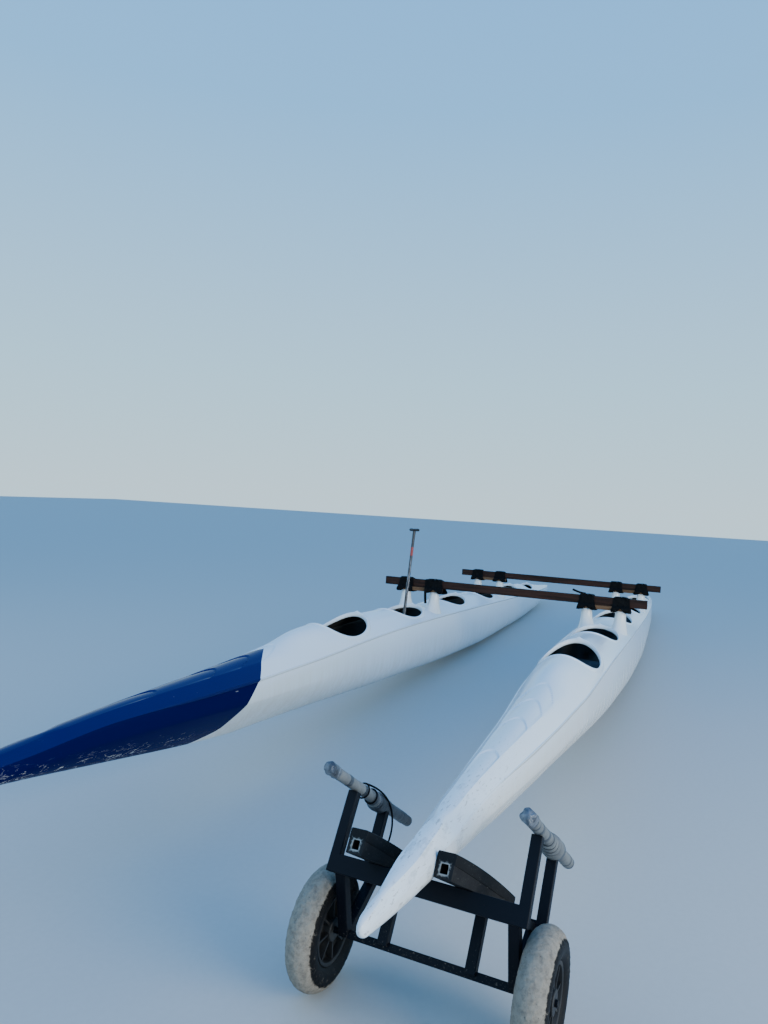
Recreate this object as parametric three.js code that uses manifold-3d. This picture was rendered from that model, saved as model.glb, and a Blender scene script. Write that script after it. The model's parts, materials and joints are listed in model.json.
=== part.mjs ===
// Double outrigger canoe: two six-seat racing hulls, side by side, under two lashed cross beams,
// with the bow of the port hull parked on a two-wheeled beach cart and one paddle left in a cockpit.
// Millimetres, +X to the bows, +Y to port, +Z up, on level ground at Z = 0.
import * as THREE from "three";
import { mergeVertices } from "three/addons/utils/BufferGeometryUtils.js";
import Module from "manifold-3d";

const wasm = await Module();
wasm.setup();

// Driving sizes
const RAD = Math.PI / 180;
const GAP = 0.3; // between pieces that touch
const WALL = 8; // foam-cored laminate of hull and deck
const HULL_SPACING = 1918; // between the hulls' centre planes
const STANCE = 2.356 * RAD; // bows up, because the cart carries them
const HULL_LIFT = 147.2; // the canoe's own base plane above the ground at X = 0
const ORIGIN = { x: -924.3, y: 40.5 }; // middle of the whole, seen from the fore beam's middle
const FORE_BULKHEAD = 2780;
const AFT_BULKHEAD = -6150;

// Hull stations, from bow tip to stern: the keel's height, the height and half width of the seam
// between shell and deck, the half width and height of the deck's top edge, its crown, the shell's
// greatest half width and the fullness of its bilge
const STATIONS = [
  { x: 5800, keel: 258, seam: 291, half: 20, top: 13, edge: 314, crown: 320, wide: 20, full: 2.2 },
  { x: 5620, keel: 238, seam: 297, half: 35, top: 25, edge: 330, crown: 338, wide: 36, full: 2.0 },
  { x: 5300, keel: 208, seam: 312, half: 55, top: 40, edge: 355, crown: 366, wide: 58, full: 1.6 },
  { x: 4700, keel: 136, seam: 357, half: 83, top: 60, edge: 400, crown: 412, wide: 94, full: 1.2 },
  { x: 3900, keel: 45, seam: 368, half: 131, top: 85, edge: 440, crown: 462, wide: 143, full: 1.1 },
  { x: 3500, keel: 14, seam: 377, half: 157, top: 100, edge: 460, crown: 494, wide: 169, full: 1.15 },
  { x: 3100, keel: 6, seam: 398, half: 186, top: 122, edge: 480, crown: 532, wide: 198, full: 1.3 },
  { x: 2700, keel: 1, seam: 421, half: 214, top: 160, edge: 500, crown: 606, wide: 227, full: 1.5 },
  { x: 2500, keel: 0, seam: 433, half: 222, top: 186, edge: 505, crown: 617, wide: 236, full: 1.65 },
  { x: 2045, keel: 0, seam: 461, half: 236, top: 212, edge: 507, crown: 622, wide: 254, full: 2.1 },
  { x: 1300, keel: 0, seam: 494, half: 255, top: 222, edge: 518, crown: 628, wide: 279, full: 2.75 },
  { x: 620, keel: -4, seam: 508, half: 266, top: 224, edge: 525, crown: 628, wide: 293, full: 3.1 },
  { x: 0, keel: -11, seam: 514, half: 272, top: 226, edge: 531, crown: 588, wide: 302, full: 3.4 },
  { x: -420, keel: -13, seam: 515, half: 273, top: 226, edge: 533, crown: 612, wide: 304, full: 3.5 },
  { x: -940, keel: -14, seam: 514, half: 273, top: 226, edge: 533, crown: 632, wide: 305, full: 3.5 },
  { x: -1600, keel: -13, seam: 511, half: 271, top: 224, edge: 532, crown: 630, wide: 303, full: 3.5 },
  { x: -2320, keel: -4, seam: 505, half: 264, top: 220, edge: 530, crown: 630, wide: 292, full: 3.2 },
  { x: -2940, keel: 5, seam: 498, half: 254, top: 214, edge: 527, crown: 588, wide: 279, full: 2.8 },
  { x: -3400, keel: 12, seam: 494, half: 245, top: 206, edge: 524, crown: 610, wide: 267, full: 2.6 },
  { x: -3880, keel: 22, seam: 490, half: 234, top: 198, edge: 522, crown: 624, wide: 253, full: 2.5 },
  { x: -4600, keel: 42, seam: 483, half: 215, top: 180, edge: 516, crown: 612, wide: 230, full: 2.3 },
  { x: -5260, keel: 74, seam: 475, half: 186, top: 152, edge: 508, crown: 594, wide: 198, full: 2.25 },
  { x: -6000, keel: 122, seam: 464, half: 148, top: 118, edge: 496, crown: 552, wide: 156, full: 2.2 },
  { x: -6700, keel: 190, seam: 455, half: 100, top: 76, edge: 482, crown: 510, wide: 104, full: 2.2 },
  { x: -7300, keel: 262, seam: 448, half: 51, top: 38, edge: 468, crown: 484, wide: 52, full: 2.2 },
  { x: -7620, keel: 322, seam: 444, half: 14, top: 10, edge: 458, crown: 466, wide: 14, full: 2.2 },
];
// The starboard bow hangs a little lower than the port one, which lies on the cart
const DROOP = { from: 3200, reach: 2140, low: 22, power: 1.3 };
const SHELL_SEGMENTS = 12;
const SHOULDER = { steps: 2, share: 0.38 }; // from the seam down to the shell's greatest width
const CROWN_STEPS = 8;

// Lengths in which each shell and each deck is joined
const SHELL_LENGTHS = [
  { name: "bow", fore: 6000, aft: -250 },
  { name: "mid", fore: -250, aft: -3250 },
  { name: "stern", fore: -3250, aft: -8000 },
];
const DECK_LENGTHS = [
  { name: "bow", fore: 6000, aft: 1330 },
  { name: "fore", fore: 1330, aft: -1630 },
  { name: "aft", fore: -1630, aft: -4575 },
  { name: "stern", fore: -4575, aft: -8000 },
];
const ROOM = { half: 400, low: -100, high: 900 }; // clear of a hull on every side
const PAST = 10; // how far a cut runs past what it cuts

// Cockpits, counted from the bow
const COCKPITS = [
  { x: 2045, long: 760, wide: 408 },
  { x: 620, long: 734, wide: 394 },
  { x: -940, long: 734, wide: 394 },
  { x: -2320, long: 734, wide: 394 },
  { x: -3880, long: 734, wide: 364 },
  { x: -5260, long: 720, wide: 280 },
];
const COCKPIT_SEGMENTS = 28;
const COCKPIT_CUT = { low: 480, high: 800 };
// Seen from the cockpit's middle
const SEAT = { fore: 30, aft: -240, top: 300, tunnel: 220, under: 262 };

// Cross beams and what holds them
const BEAM = { long: 2724, wide: 56, high: 83, base: 793, worn: 1 }; // worn: beds of the lashings
const BEAM_X = [
  { name: "fore", x: 0 },
  { name: "aft", x: -2940 },
];
const POST = { off: 161, top: 752, foot: 518, sides: 12, reach: 1200 };
const POST_RINGS = [
  { z: 480, long: 226, wide: 130 },
  { z: 540, long: 220, wide: 130 },
  { z: 580, long: 170, wide: 126 },
  { z: 620, long: 118, wide: 108 },
  { z: 660, long: 94, wide: 97 },
  { z: 752, long: 80, wide: 90 },
];
const PACKER = { long: 120, wide: 470, top: 793 };
const LASHING = { wide: 118, thick: 9, drop: 62 };

// Beach cart, in its own frame: X along the rails, Z square to them, from the middle of the axle
const CART = {
  x: 5125,
  y: 952,
  yaw: -2.9 * RAD,
  pitch: 31.8 * RAD,
  tube: 40,
  axle: { half: 350, size: 30, stub: 12, end: 478 },
  deck: { half: 380, z: 213, fore: 200, aft: -131, high: 66, rear: 40 },
  struts: 330, // slanting, from the axle's ends to both crossbars
  legs: { x: 15, sides: [-167, 173] },
};
const RAILS = [
  { name: "right", y: -366, fore: 465, aft: -455 },
  { name: "left", y: 360, fore: 415, aft: -490 },
];
const RAIL = { z: 497, radius: 25 };
const WHEEL = { radius: 230.6, tyre: 62, track: 421, rim: 128, hub: 42, bore: 12.4, web: 12, half: 46 };
const BUNKS = [
  { name: "right", y: -223 },
  { name: "left", y: 109.4 },
];
const BUNK = { fore: 370, long: 480, high: 86, low: 42, wide: 74, splay: 13.5 * RAD };
const HOLE = { deep: 80, half: 16, low: 14, high: 48 };

// Elastic cord that hangs from the right rail to the rear crossbar, in the cart's frame
const CORD = {
  radius: 4,
  sides: 8,
  steps: 24,
  route: [
    [112, -366, 526.5],
    [78, -358, 529],
    [40, -350, 530],
    [0, -343, 528],
    [-40, -337, 522],
    [-80, -333, 512],
    [-115, -331, 498],
    [-146, -330, 480],
    [-171, -330, 458],
    [-189, -330, 434],
    [-198, -330, 408],
    [-198, -330, 381],
    [-193, -330, 354],
    [-184, -330, 327],
    [-174, -330, 300],
    [-163, -330, 276],
    [-152, -330, 256],
    [-143, -330, 235],
  ],
};

// Paddle, from the hull's floor up to its grip
const PADDLE = {
  foot: [709, -896, 60],
  head: [430, -920, 1390],
  shaft: 15,
  blade: { long: 500, wide: 240, thick: 15 },
  grip: { radius: 16, half: 56, seat: 4 },
};

const COLOURS = {
  gelcoat: 0xe9edf2,
  beam: 0x3b2a22,
  board: 0x9a7350,
  rubber: 0x15161a,
  frame: 0x14161c,
  foam: 0xb9bcc2,
  tyre: 0xa79a8c,
  rim: 0x1b1b1e,
  seat: 0x4b4e54,
  shaft: 0x18181b,
};

// Solids
function solid(geometry) {
  const bare = new THREE.BufferGeometry();
  bare.setAttribute("position", geometry.getAttribute("position"));
  if (geometry.index) bare.setIndex(geometry.index);
  const merged = mergeVertices(bare, 1e-3);
  return new wasm.Manifold(
    new wasm.Mesh({
      numProp: 3,
      vertProperties: new Float32Array(merged.attributes.position.array),
      triVerts: new Uint32Array(merged.index.array),
    }),
  );
}

function geometryOf(manifold) {
  const mesh = manifold.getMesh();
  const geometry = new THREE.BufferGeometry();
  geometry.setAttribute("position", new THREE.BufferAttribute(new Float32Array(mesh.vertProperties), 3));
  geometry.setIndex(Array.from(mesh.triVerts));
  const flat = geometry.toNonIndexed();
  flat.computeVertexNormals();
  return flat;
}

// A closed body through rings of the same number of points, with flat ends
function loft(rings) {
  const count = rings[0].length;
  const points = rings.flat();
  const faces = [];
  for (let r = 0; r < rings.length - 1; r++) {
    for (let i = 0; i < count; i++) {
      const a = r * count + i;
      const b = r * count + ((i + 1) % count);
      faces.push(a, b, b + count, a, b + count, a + count);
    }
  }
  const last = (rings.length - 1) * count;
  for (let i = 1; i < count - 1; i++) {
    faces.push(0, i + 1, i);
    faces.push(last, last + i, last + i + 1);
  }
  const geometry = new THREE.BufferGeometry();
  geometry.setAttribute("position", new THREE.Float32BufferAttribute(points.flat(), 3));
  geometry.setIndex(faces);
  const made = solid(geometry);
  if (made.volume() > 0) return made;
  geometry.setIndex(faces.reverse());
  return solid(geometry);
}

function box(x0, x1, y0, y1, z0, z1) {
  const geometry = new THREE.BoxGeometry(x1 - x0, y1 - y0, z1 - z0);
  geometry.translate((x0 + x1) / 2, (y0 + y1) / 2, (z0 + z1) / 2);
  return solid(geometry);
}

// Hull
function between(table, key, x) {
  if (x >= table[0].x) return table[0][key];
  for (let i = 0; i < table.length - 1; i++) {
    const a = table[i];
    const b = table[i + 1];
    if (x <= a.x && x >= b.x) return a[key] + ((b[key] - a[key]) * (x - a.x)) / (b.x - a.x);
  }
  return table[table.length - 1][key];
}

const STATION_KEYS = ["keel", "seam", "half", "top", "edge", "crown", "wide", "full"];

function station(x) {
  const found = { x };
  for (const key of STATION_KEYS) found[key] = between(STATIONS, key, x);
  return found;
}

// From the seam out to the greatest width, down to the keel and up the other side
function shellRing(s, grow) {
  const level = s.seam - (s.seam - s.keel) * SHOULDER.share;
  const side = [];
  for (let i = 0; i < SHOULDER.steps; i++) {
    const t = i / SHOULDER.steps;
    side.push([s.half + (s.wide - s.half) * Math.sin((Math.PI * t) / 2) + grow, s.seam + (level - s.seam) * t]);
  }
  for (let i = 0; i < SHELL_SEGMENTS / 2; i++) {
    const turn = (Math.PI * i) / SHELL_SEGMENTS;
    const down = Math.sin(turn) ** (2 / s.full);
    side.push([Math.cos(turn) ** (2 / s.full) * (s.wide + grow), level - down * (level - s.keel + grow)]);
  }
  const left = side.map(([y, z]) => [s.x, y, z]);
  const right = side.map(([y, z]) => [s.x, -y, z]).reverse();
  return [...left, [s.x, 0, s.keel - grow], ...right];
}

// A slanting side from seam to top edge, and a crowned top
function deckRing(s, grow) {
  const seam = s.seam + GAP;
  const points = [[s.x, s.half + grow, seam]];
  for (let i = 0; i <= CROWN_STEPS; i++) {
    const across = 1 - (2 * i) / CROWN_STEPS;
    const z = s.crown - (s.crown - s.edge) * across ** 2 + grow;
    points.push([s.x, across * (s.top + grow), z]);
  }
  points.push([s.x, -s.half - grow, seam]);
  return points;
}

function wholeRing(s, grow) {
  const under = shellRing(s, grow);
  const over = deckRing(s, grow).slice(1, -1).reverse();
  return under.concat(over);
}

function cavity(grow) {
  const inside = STATIONS.map((s) => s.x).filter((x) => x < FORE_BULKHEAD && x > AFT_BULKHEAD);
  const xs = [FORE_BULKHEAD + grow, ...inside, AFT_BULKHEAD - grow];
  return loft(xs.map((x) => wholeRing({ ...station(x), x }, grow - WALL)));
}

function drooped(s) {
  const down = DROOP.low * (Math.max(s.x - DROOP.from, 0) / DROOP.reach) ** DROOP.power;
  const { keel, seam, edge, crown } = s;
  return { ...s, keel: keel - down, seam: seam - down, edge: edge - down, crown: crown - down };
}

function hullShell(lines) {
  return loft(lines.map((s) => shellRing(s, 0))).subtract(cavity(0));
}

function cockpitCutter(cockpit) {
  const ring = (z) => {
    const points = [];
    for (let i = 0; i < COCKPIT_SEGMENTS; i++) {
      const turn = (2 * Math.PI * i) / COCKPIT_SEGMENTS;
      points.push([cockpit.x + (Math.cos(turn) * cockpit.long) / 2, (Math.sin(turn) * cockpit.wide) / 2, z]);
    }
    return points;
  };
  return loft([ring(COCKPIT_CUT.low), ring(COCKPIT_CUT.high)]);
}

function hullDeck(lines) {
  let deck = loft(lines.map((s) => deckRing(s, 0))).subtract(cavity(0));
  for (const cockpit of COCKPITS) deck = deck.subtract(cockpitCutter(cockpit));
  return deck;
}

function inLengths(body, lengths) {
  return lengths.map(({ name, fore, aft }) => {
    const room = box(aft + GAP / 2, fore - GAP / 2, -ROOM.half, ROOM.half, ROOM.low, ROOM.high);
    return { name, solid: body.intersect(room) };
  });
}

// A seat spans the hull from wall to wall, over an open tunnel along the floor
function seat(cockpit) {
  const aft = cockpit.x + SEAT.aft;
  const fore = cockpit.x + SEAT.fore;
  const half = SEAT.tunnel / 2;
  const block = box(aft, fore, -ROOM.half, ROOM.half, ROOM.low, SEAT.top);
  const tunnel = box(aft - PAST, fore + PAST, -half, half, ROOM.low, SEAT.under);
  return block.subtract(tunnel).intersect(cavity(-GAP));
}

// Beams, posts and lashings
function postRing(x, y, long, wide, z) {
  const points = [];
  for (let i = 0; i < POST.sides; i++) {
    const turn = (2 * Math.PI * (i + 0.5)) / POST.sides;
    points.push([x + (Math.cos(turn) * long) / 2, y + (Math.sin(turn) * wide) / 2, z]);
  }
  return points;
}

function column(x, y, grow) {
  return loft(POST_RINGS.map((r) => postRing(x, y, r.long + 2 * grow, r.wide + 2 * grow, r.z)));
}

function post(x, y) {
  const near = STATIONS.filter((s) => Math.abs(s.x - x) < POST.reach);
  const inside = box(x - POST.reach, x + POST.reach, -ROOM.half, ROOM.half, ROOM.low, POST.foot);
  return column(x, y, 0).subtract(loft(near.map((s) => deckRing(s, GAP)))).subtract(inside);
}

function packer(x) {
  return box(
    x - PACKER.long / 2,
    x + PACKER.long / 2,
    -PACKER.wide / 2,
    PACKER.wide / 2,
    POST.top + GAP,
    PACKER.top - GAP,
  );
}

function lashing(x, y) {
  const t = LASHING.thick;
  const reach = PACKER.long / 2 + GAP + t;
  const half = LASHING.wide / 2;
  const top = BEAM.base + BEAM.high;
  const outer = box(x - reach, x + reach, y - half, y + half, POST.top - LASHING.drop, top + GAP + t);
  const hole = box(
    x - PACKER.long / 2 - GAP,
    x + PACKER.long / 2 + GAP,
    y - half - PAST,
    y + half + PAST,
    POST.top - LASHING.drop + t,
    top + GAP,
  );
  return outer.subtract(hole).subtract(column(x, y, 2 * GAP));
}

// A timber with shallow beds where the lashings pass over it
function beam(x) {
  const top = BEAM.base + BEAM.high;
  let bar = box(x - BEAM.wide / 2, x + BEAM.wide / 2, -BEAM.long / 2, BEAM.long / 2, BEAM.base, top);
  const half = LASHING.wide / 2 + GAP;
  for (const hull of [-HULL_SPACING / 2, HULL_SPACING / 2]) {
    for (const off of [-POST.off, POST.off]) {
      const y = hull + off;
      const bed = box(x - BEAM.wide, x + BEAM.wide, y - half, y + half, top - BEAM.worn, top + PAST);
      bar = bar.subtract(bed);
    }
  }
  return bar;
}

// Cart
function strut(x, z, y) {
  const t = CART.tube / 2;
  const bar = box(-t, t, -t, t, 0, Math.hypot(x, z));
  return bar.rotate([0, Math.atan2(x, z) / RAD, 0]).translate([0, y, 0]);
}

function cartFrame() {
  const { axle, deck, struts, legs, tube } = CART;
  const t = tube / 2;
  const a = axle.size / 2;
  let frame = box(-a, a, -axle.half, axle.half, -a, a).add(axleStub());
  for (const bar of [
    { x: deck.fore, high: deck.high },
    { x: deck.aft, high: deck.rear },
  ]) {
    const half = bar.high / 2;
    frame = frame.add(box(bar.x - t, bar.x + t, -deck.half, deck.half, deck.z - half, deck.z + half));
    for (const side of [-1, 1]) {
      const y = side * (deck.half - t);
      frame = frame.add(box(bar.x - t, bar.x + t, y - t, y + t, deck.z, RAIL.z - RAIL.radius - GAP));
      frame = frame.add(strut(bar.x, deck.z, side * struts));
    }
  }
  for (const y of [-struts, ...legs.sides, struts]) {
    frame = frame.add(box(deck.aft, deck.fore, y - t / 2, y + t / 2, deck.z - t, deck.z + t / 2));
  }
  for (const y of legs.sides) {
    frame = frame.add(box(legs.x - t, legs.x + t, y - t, y + t, 0, deck.z));
  }
  return frame;
}

function axleStub() {
  const { stub, end } = CART.axle;
  return solid(new THREE.CylinderGeometry(stub, stub, 2 * end, 20));
}

function cartRail(rail) {
  const geometry = new THREE.CylinderGeometry(RAIL.radius, RAIL.radius, rail.fore - rail.aft, 16);
  geometry.rotateZ(Math.PI / 2);
  geometry.translate((rail.fore + rail.aft) / 2, rail.y, RAIL.z);
  return solid(geometry);
}

function cartBunk(bunk) {
  const base = CART.deck.z + CART.deck.high / 2 + GAP;
  const shape = new THREE.Shape();
  shape.moveTo(-BUNK.long, 0);
  shape.lineTo(0, 0);
  shape.lineTo(0, BUNK.high);
  shape.quadraticCurveTo(-BUNK.long * 0.5, BUNK.high, -BUNK.long, BUNK.low);
  shape.closePath();
  const extrusion = { depth: BUNK.wide, bevelEnabled: false, curveSegments: 8 };
  const geometry = new THREE.ExtrudeGeometry(shape, extrusion);
  geometry.rotateX(Math.PI / 2);
  geometry.translate(0, BUNK.wide / 2, 0);
  const hole = box(-HOLE.deep, PAST, -HOLE.half, HOLE.half, HOLE.low, HOLE.high);
  const board = solid(geometry).subtract(hole);
  return board.rotate([0, 0, -BUNK.splay / RAD]).translate([BUNK.fore, bunk.y, base]);
}

function cartCord() {
  const section = new THREE.Shape();
  for (let k = 0; k < CORD.sides; k++) {
    const turn = (2 * Math.PI * k) / CORD.sides;
    const corner = [Math.cos(turn) * CORD.radius, Math.sin(turn) * CORD.radius];
    if (k === 0) section.moveTo(...corner);
    else section.lineTo(...corner);
  }
  section.closePath();
  const extrudePath = new THREE.CatmullRomCurve3(CORD.route.map((p) => new THREE.Vector3(...p)));
  return solid(new THREE.ExtrudeGeometry(section, { steps: CORD.steps, extrudePath, bevelEnabled: false }));
}

function lathe(profile, segments) {
  const geometry = new THREE.LatheGeometry(
    profile.map(([r, y]) => new THREE.Vector2(r, y)),
    segments,
  );
  return solid(geometry);
}

function tyre() {
  const profile = [];
  for (let i = 0; i <= 16; i++) {
    const turn = (2 * Math.PI * i) / 16;
    const r = WHEEL.radius - WHEEL.tyre + Math.cos(turn) * WHEEL.tyre;
    profile.push([Math.max(r, WHEEL.rim + GAP), Math.sin(turn) * WHEEL.tyre]);
  }
  return lathe(profile, 40);
}

function rim() {
  const { bore, rim: edge, hub, web, half } = WHEEL;
  const profile = [
    [bore, -half],
    [hub, -half],
    [hub, -web],
    [edge - 20, -web],
    [edge - 12, -half],
    [edge, -half],
    [edge, half],
    [edge - 12, half],
    [edge - 20, web],
    [hub, web],
    [hub, half],
    [bore, half],
    [bore, -half],
  ];
  return lathe(profile, 40);
}

// Paddle, made upright on its foot and then leant on the seat
function lean(manifold) {
  const a = new THREE.Vector3(...PADDLE.foot);
  const b = new THREE.Vector3(...PADDLE.head);
  const turn = new THREE.Quaternion().setFromUnitVectors(new THREE.Vector3(0, 0, 1), b.sub(a).normalize());
  const geometry = geometryOf(manifold);
  geometry.applyQuaternion(turn);
  geometry.translate(a.x, a.y, a.z);
  return solid(geometry);
}

function paddleLength() {
  return new THREE.Vector3(...PADDLE.foot).distanceTo(new THREE.Vector3(...PADDLE.head));
}

function paddleBlade() {
  const { long, wide, thick } = PADDLE.blade;
  const outline = new THREE.Shape();
  outline.moveTo(0, 0);
  outline.bezierCurveTo(wide * 0.42, 0, wide * 0.5, long * 0.14, wide * 0.5, long * 0.34);
  outline.bezierCurveTo(wide * 0.5, long * 0.7, wide * 0.1, long * 0.8, PADDLE.shaft, long);
  outline.lineTo(-PADDLE.shaft, long);
  outline.bezierCurveTo(-wide * 0.1, long * 0.8, -wide * 0.5, long * 0.7, -wide * 0.5, long * 0.34);
  outline.bezierCurveTo(-wide * 0.5, long * 0.14, -wide * 0.42, 0, 0, 0);
  const geometry = new THREE.ExtrudeGeometry(outline, { depth: thick, bevelEnabled: false, curveSegments: 8 });
  geometry.translate(0, 0, -thick / 2);
  geometry.rotateX(Math.PI / 2);
  geometry.rotateZ(Math.PI / 2);
  return lean(solid(geometry));
}

// The shaft with its T grip
function paddleShaft() {
  const { shaft, blade, grip } = PADDLE;
  const base = blade.long + GAP;
  const head = paddleLength();
  const tube = new THREE.CylinderGeometry(shaft, shaft, head + grip.seat - base, 12);
  tube.rotateX(Math.PI / 2);
  tube.translate(0, 0, (base + head + grip.seat) / 2);
  const bar = new THREE.CapsuleGeometry(grip.radius, 2 * (grip.half - grip.radius), 4, 12);
  bar.translate(0, 0, head + grip.radius);
  return lean(solid(tube).add(solid(bar)));
}

// Assembly
const group = new THREE.Group();
group.name = "double_outrigger_canoe";

function add(parent, name, manifold, colour, roughness, metalness = 0) {
  const material = new THREE.MeshStandardMaterial({ color: colour, roughness, metalness });
  material.name = name;
  const mesh = new THREE.Mesh(geometryOf(manifold), material);
  mesh.name = name;
  parent.add(mesh);
  return mesh;
}

group.position.set(-ORIGIN.x, -ORIGIN.y, 0);

const canoe = new THREE.Group();
canoe.rotation.y = -STANCE;
canoe.position.z = HULL_LIFT;
group.add(canoe);

const sides = [
  { name: "starboard", y: -HULL_SPACING / 2, lines: STATIONS.map(drooped) },
  { name: "port", y: HULL_SPACING / 2, lines: STATIONS },
];
for (const side of sides) {
  const hull = new THREE.Group();
  hull.position.y = side.y;
  canoe.add(hull);
  for (const shell of inLengths(hullShell(side.lines), SHELL_LENGTHS)) {
    add(hull, `${side.name}_hull_shell_${shell.name}`, shell.solid, COLOURS.gelcoat, 0.25);
  }
  for (const deck of inLengths(hullDeck(side.lines), DECK_LENGTHS)) {
    add(hull, `${side.name}_hull_deck_${deck.name}`, deck.solid, COLOURS.gelcoat, 0.25);
  }
  COCKPITS.forEach((cockpit, i) => add(hull, `${side.name}_seat_${i + 1}`, seat(cockpit), COLOURS.seat, 0.5));
  for (const place of BEAM_X) {
    add(hull, `${side.name}_${place.name}_packer`, packer(place.x), COLOURS.board, 0.6);
    for (const hand of [
      { name: "right", y: -POST.off },
      { name: "left", y: POST.off },
    ]) {
      const stem = `${side.name}_${place.name}_${hand.name}`;
      add(hull, `${stem}_post`, post(place.x, hand.y), COLOURS.gelcoat, 0.25);
      add(hull, `${stem}_lashing`, lashing(place.x, hand.y), COLOURS.rubber, 0.7);
    }
  }
}

for (const place of BEAM_X) add(canoe, `${place.name}_beam`, beam(place.x), COLOURS.beam, 0.65);
add(canoe, "paddle_blade", paddleBlade(), COLOURS.shaft, 0.35);
add(canoe, "paddle_shaft", paddleShaft(), COLOURS.shaft, 0.4);

const cart = new THREE.Group();
cart.position.set(CART.x, CART.y, WHEEL.radius);
cart.rotation.z = CART.yaw;
group.add(cart);
const tipped = new THREE.Group();
tipped.rotation.y = -CART.pitch;
cart.add(tipped);
add(tipped, "cart_frame", cartFrame(), COLOURS.frame, 0.5, 0.4);
for (const rail of RAILS) add(tipped, `cart_${rail.name}_rail`, cartRail(rail), COLOURS.foam, 0.8);
for (const bunk of BUNKS) add(tipped, `cart_${bunk.name}_bunk`, cartBunk(bunk), COLOURS.rubber, 0.6);
add(tipped, "cart_cord", cartCord(), COLOURS.rubber, 0.6);
for (const side of [
  { name: "right", y: -WHEEL.track },
  { name: "left", y: WHEEL.track },
]) {
  const wheel = new THREE.Group();
  wheel.position.y = side.y;
  cart.add(wheel);
  add(wheel, `cart_${side.name}_tyre`, tyre(), COLOURS.tyre, 0.9);
  add(wheel, `cart_${side.name}_rim`, rim(), COLOURS.rim, 0.5);
}

export default group;
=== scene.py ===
"""Double racing canoe parked on a two-wheeled beach cart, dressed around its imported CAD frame.

Hull sizes are in metres in each hull's own frame: x towards the bow from the fore beam, y from the
hull's centre plane, z up from the keel. Cart sizes are in the cart's frame, from its axle's middle.
"""

from __future__ import annotations

import json
import logging
import math
from collections.abc import Callable, Sequence
from dataclasses import dataclass, field, replace
from enum import Enum
from typing import Union

import bmesh
import bpy
import numpy as np
from mathutils import Matrix, Vector, noise

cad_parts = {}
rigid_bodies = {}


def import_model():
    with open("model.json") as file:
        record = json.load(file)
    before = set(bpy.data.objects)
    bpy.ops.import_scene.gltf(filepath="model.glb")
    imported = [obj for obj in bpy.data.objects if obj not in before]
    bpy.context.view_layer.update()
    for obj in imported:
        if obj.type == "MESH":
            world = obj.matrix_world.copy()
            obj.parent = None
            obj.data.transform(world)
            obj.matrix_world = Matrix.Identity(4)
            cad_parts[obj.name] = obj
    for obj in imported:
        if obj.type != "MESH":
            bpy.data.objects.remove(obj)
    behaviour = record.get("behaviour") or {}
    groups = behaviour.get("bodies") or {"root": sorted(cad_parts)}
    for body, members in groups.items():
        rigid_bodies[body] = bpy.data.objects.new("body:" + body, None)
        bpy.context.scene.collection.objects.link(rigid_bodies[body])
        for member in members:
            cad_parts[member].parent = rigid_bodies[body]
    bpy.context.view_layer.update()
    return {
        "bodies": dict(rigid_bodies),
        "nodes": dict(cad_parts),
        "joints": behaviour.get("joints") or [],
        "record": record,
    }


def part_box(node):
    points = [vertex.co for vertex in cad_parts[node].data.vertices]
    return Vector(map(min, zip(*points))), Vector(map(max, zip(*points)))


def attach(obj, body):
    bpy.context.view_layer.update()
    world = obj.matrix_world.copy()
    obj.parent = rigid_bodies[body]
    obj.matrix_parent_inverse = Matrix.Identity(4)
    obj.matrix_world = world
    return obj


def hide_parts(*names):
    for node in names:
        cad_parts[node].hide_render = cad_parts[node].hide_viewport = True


LOG = logging.getLogger("double_canoe")
Array = np.ndarray
Material = bpy.types.Material
Object = bpy.types.Object
Colour = tuple[float, float, float]
Point = tuple[float, float, float]
Pair = tuple[float, float]
STANCE = math.radians(2.356)
HULL_LIFT = 0.1472
BEAM_MIDDLE_HEIGHT = 0.8345
HULL_SPACING = 1.918
HULL_ATTRIBUTE = "hull"
BEAMS = (("fore", 0.0), ("aft", -2.94))
POSTS = (("right", -0.161), ("left", 0.161))
UPWARD = (0.0, 0.0, 1.0)
FORWARD = (1.0, 0.0, 0.2)


class Side(Enum):
    """The two hulls, with the sign of their place across the canoe."""

    STARBOARD = -1
    PORT = 1

    @property
    def label(self) -> str:
        """The hull's name as its nodes carry it."""
        return self.name.lower()

    @property
    def offset(self) -> float:
        """The hull's centre plane, across the canoe."""
        return self.value * HULL_SPACING / 2


class Scheme(Enum):
    """How a hull's gelcoat is painted."""

    PLAIN = "plain"
    BLUE_BOW = "blue bow"


# Places


@dataclass(frozen=True)
class Droop:
    """How far a bow hangs lower than the other hull's, and where it begins."""

    depth: float = 0.0
    start: float = 3.2
    reach: float = 2.14
    power: float = 1.3


STARBOARD_DROOP = Droop(0.022)


@dataclass(frozen=True)
class BunkSize:
    """A cart bunk: its lengths, its height fore and aft, its pad's share, and the hole in its front."""

    long: float = 0.480
    high: float = 0.086
    low: float = 0.042
    wide: float = 0.074
    pad: float = 0.58
    pad_lean: float = 0.30
    hole_half: float = 0.016
    hole_low: float = 0.014
    hole_high: float = 0.048
    hole_deep: float = 0.080

    @property
    def hole_middle(self) -> float:
        """The height of the hole's middle."""
        return (self.hole_low + self.hole_high) / 2


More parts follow.
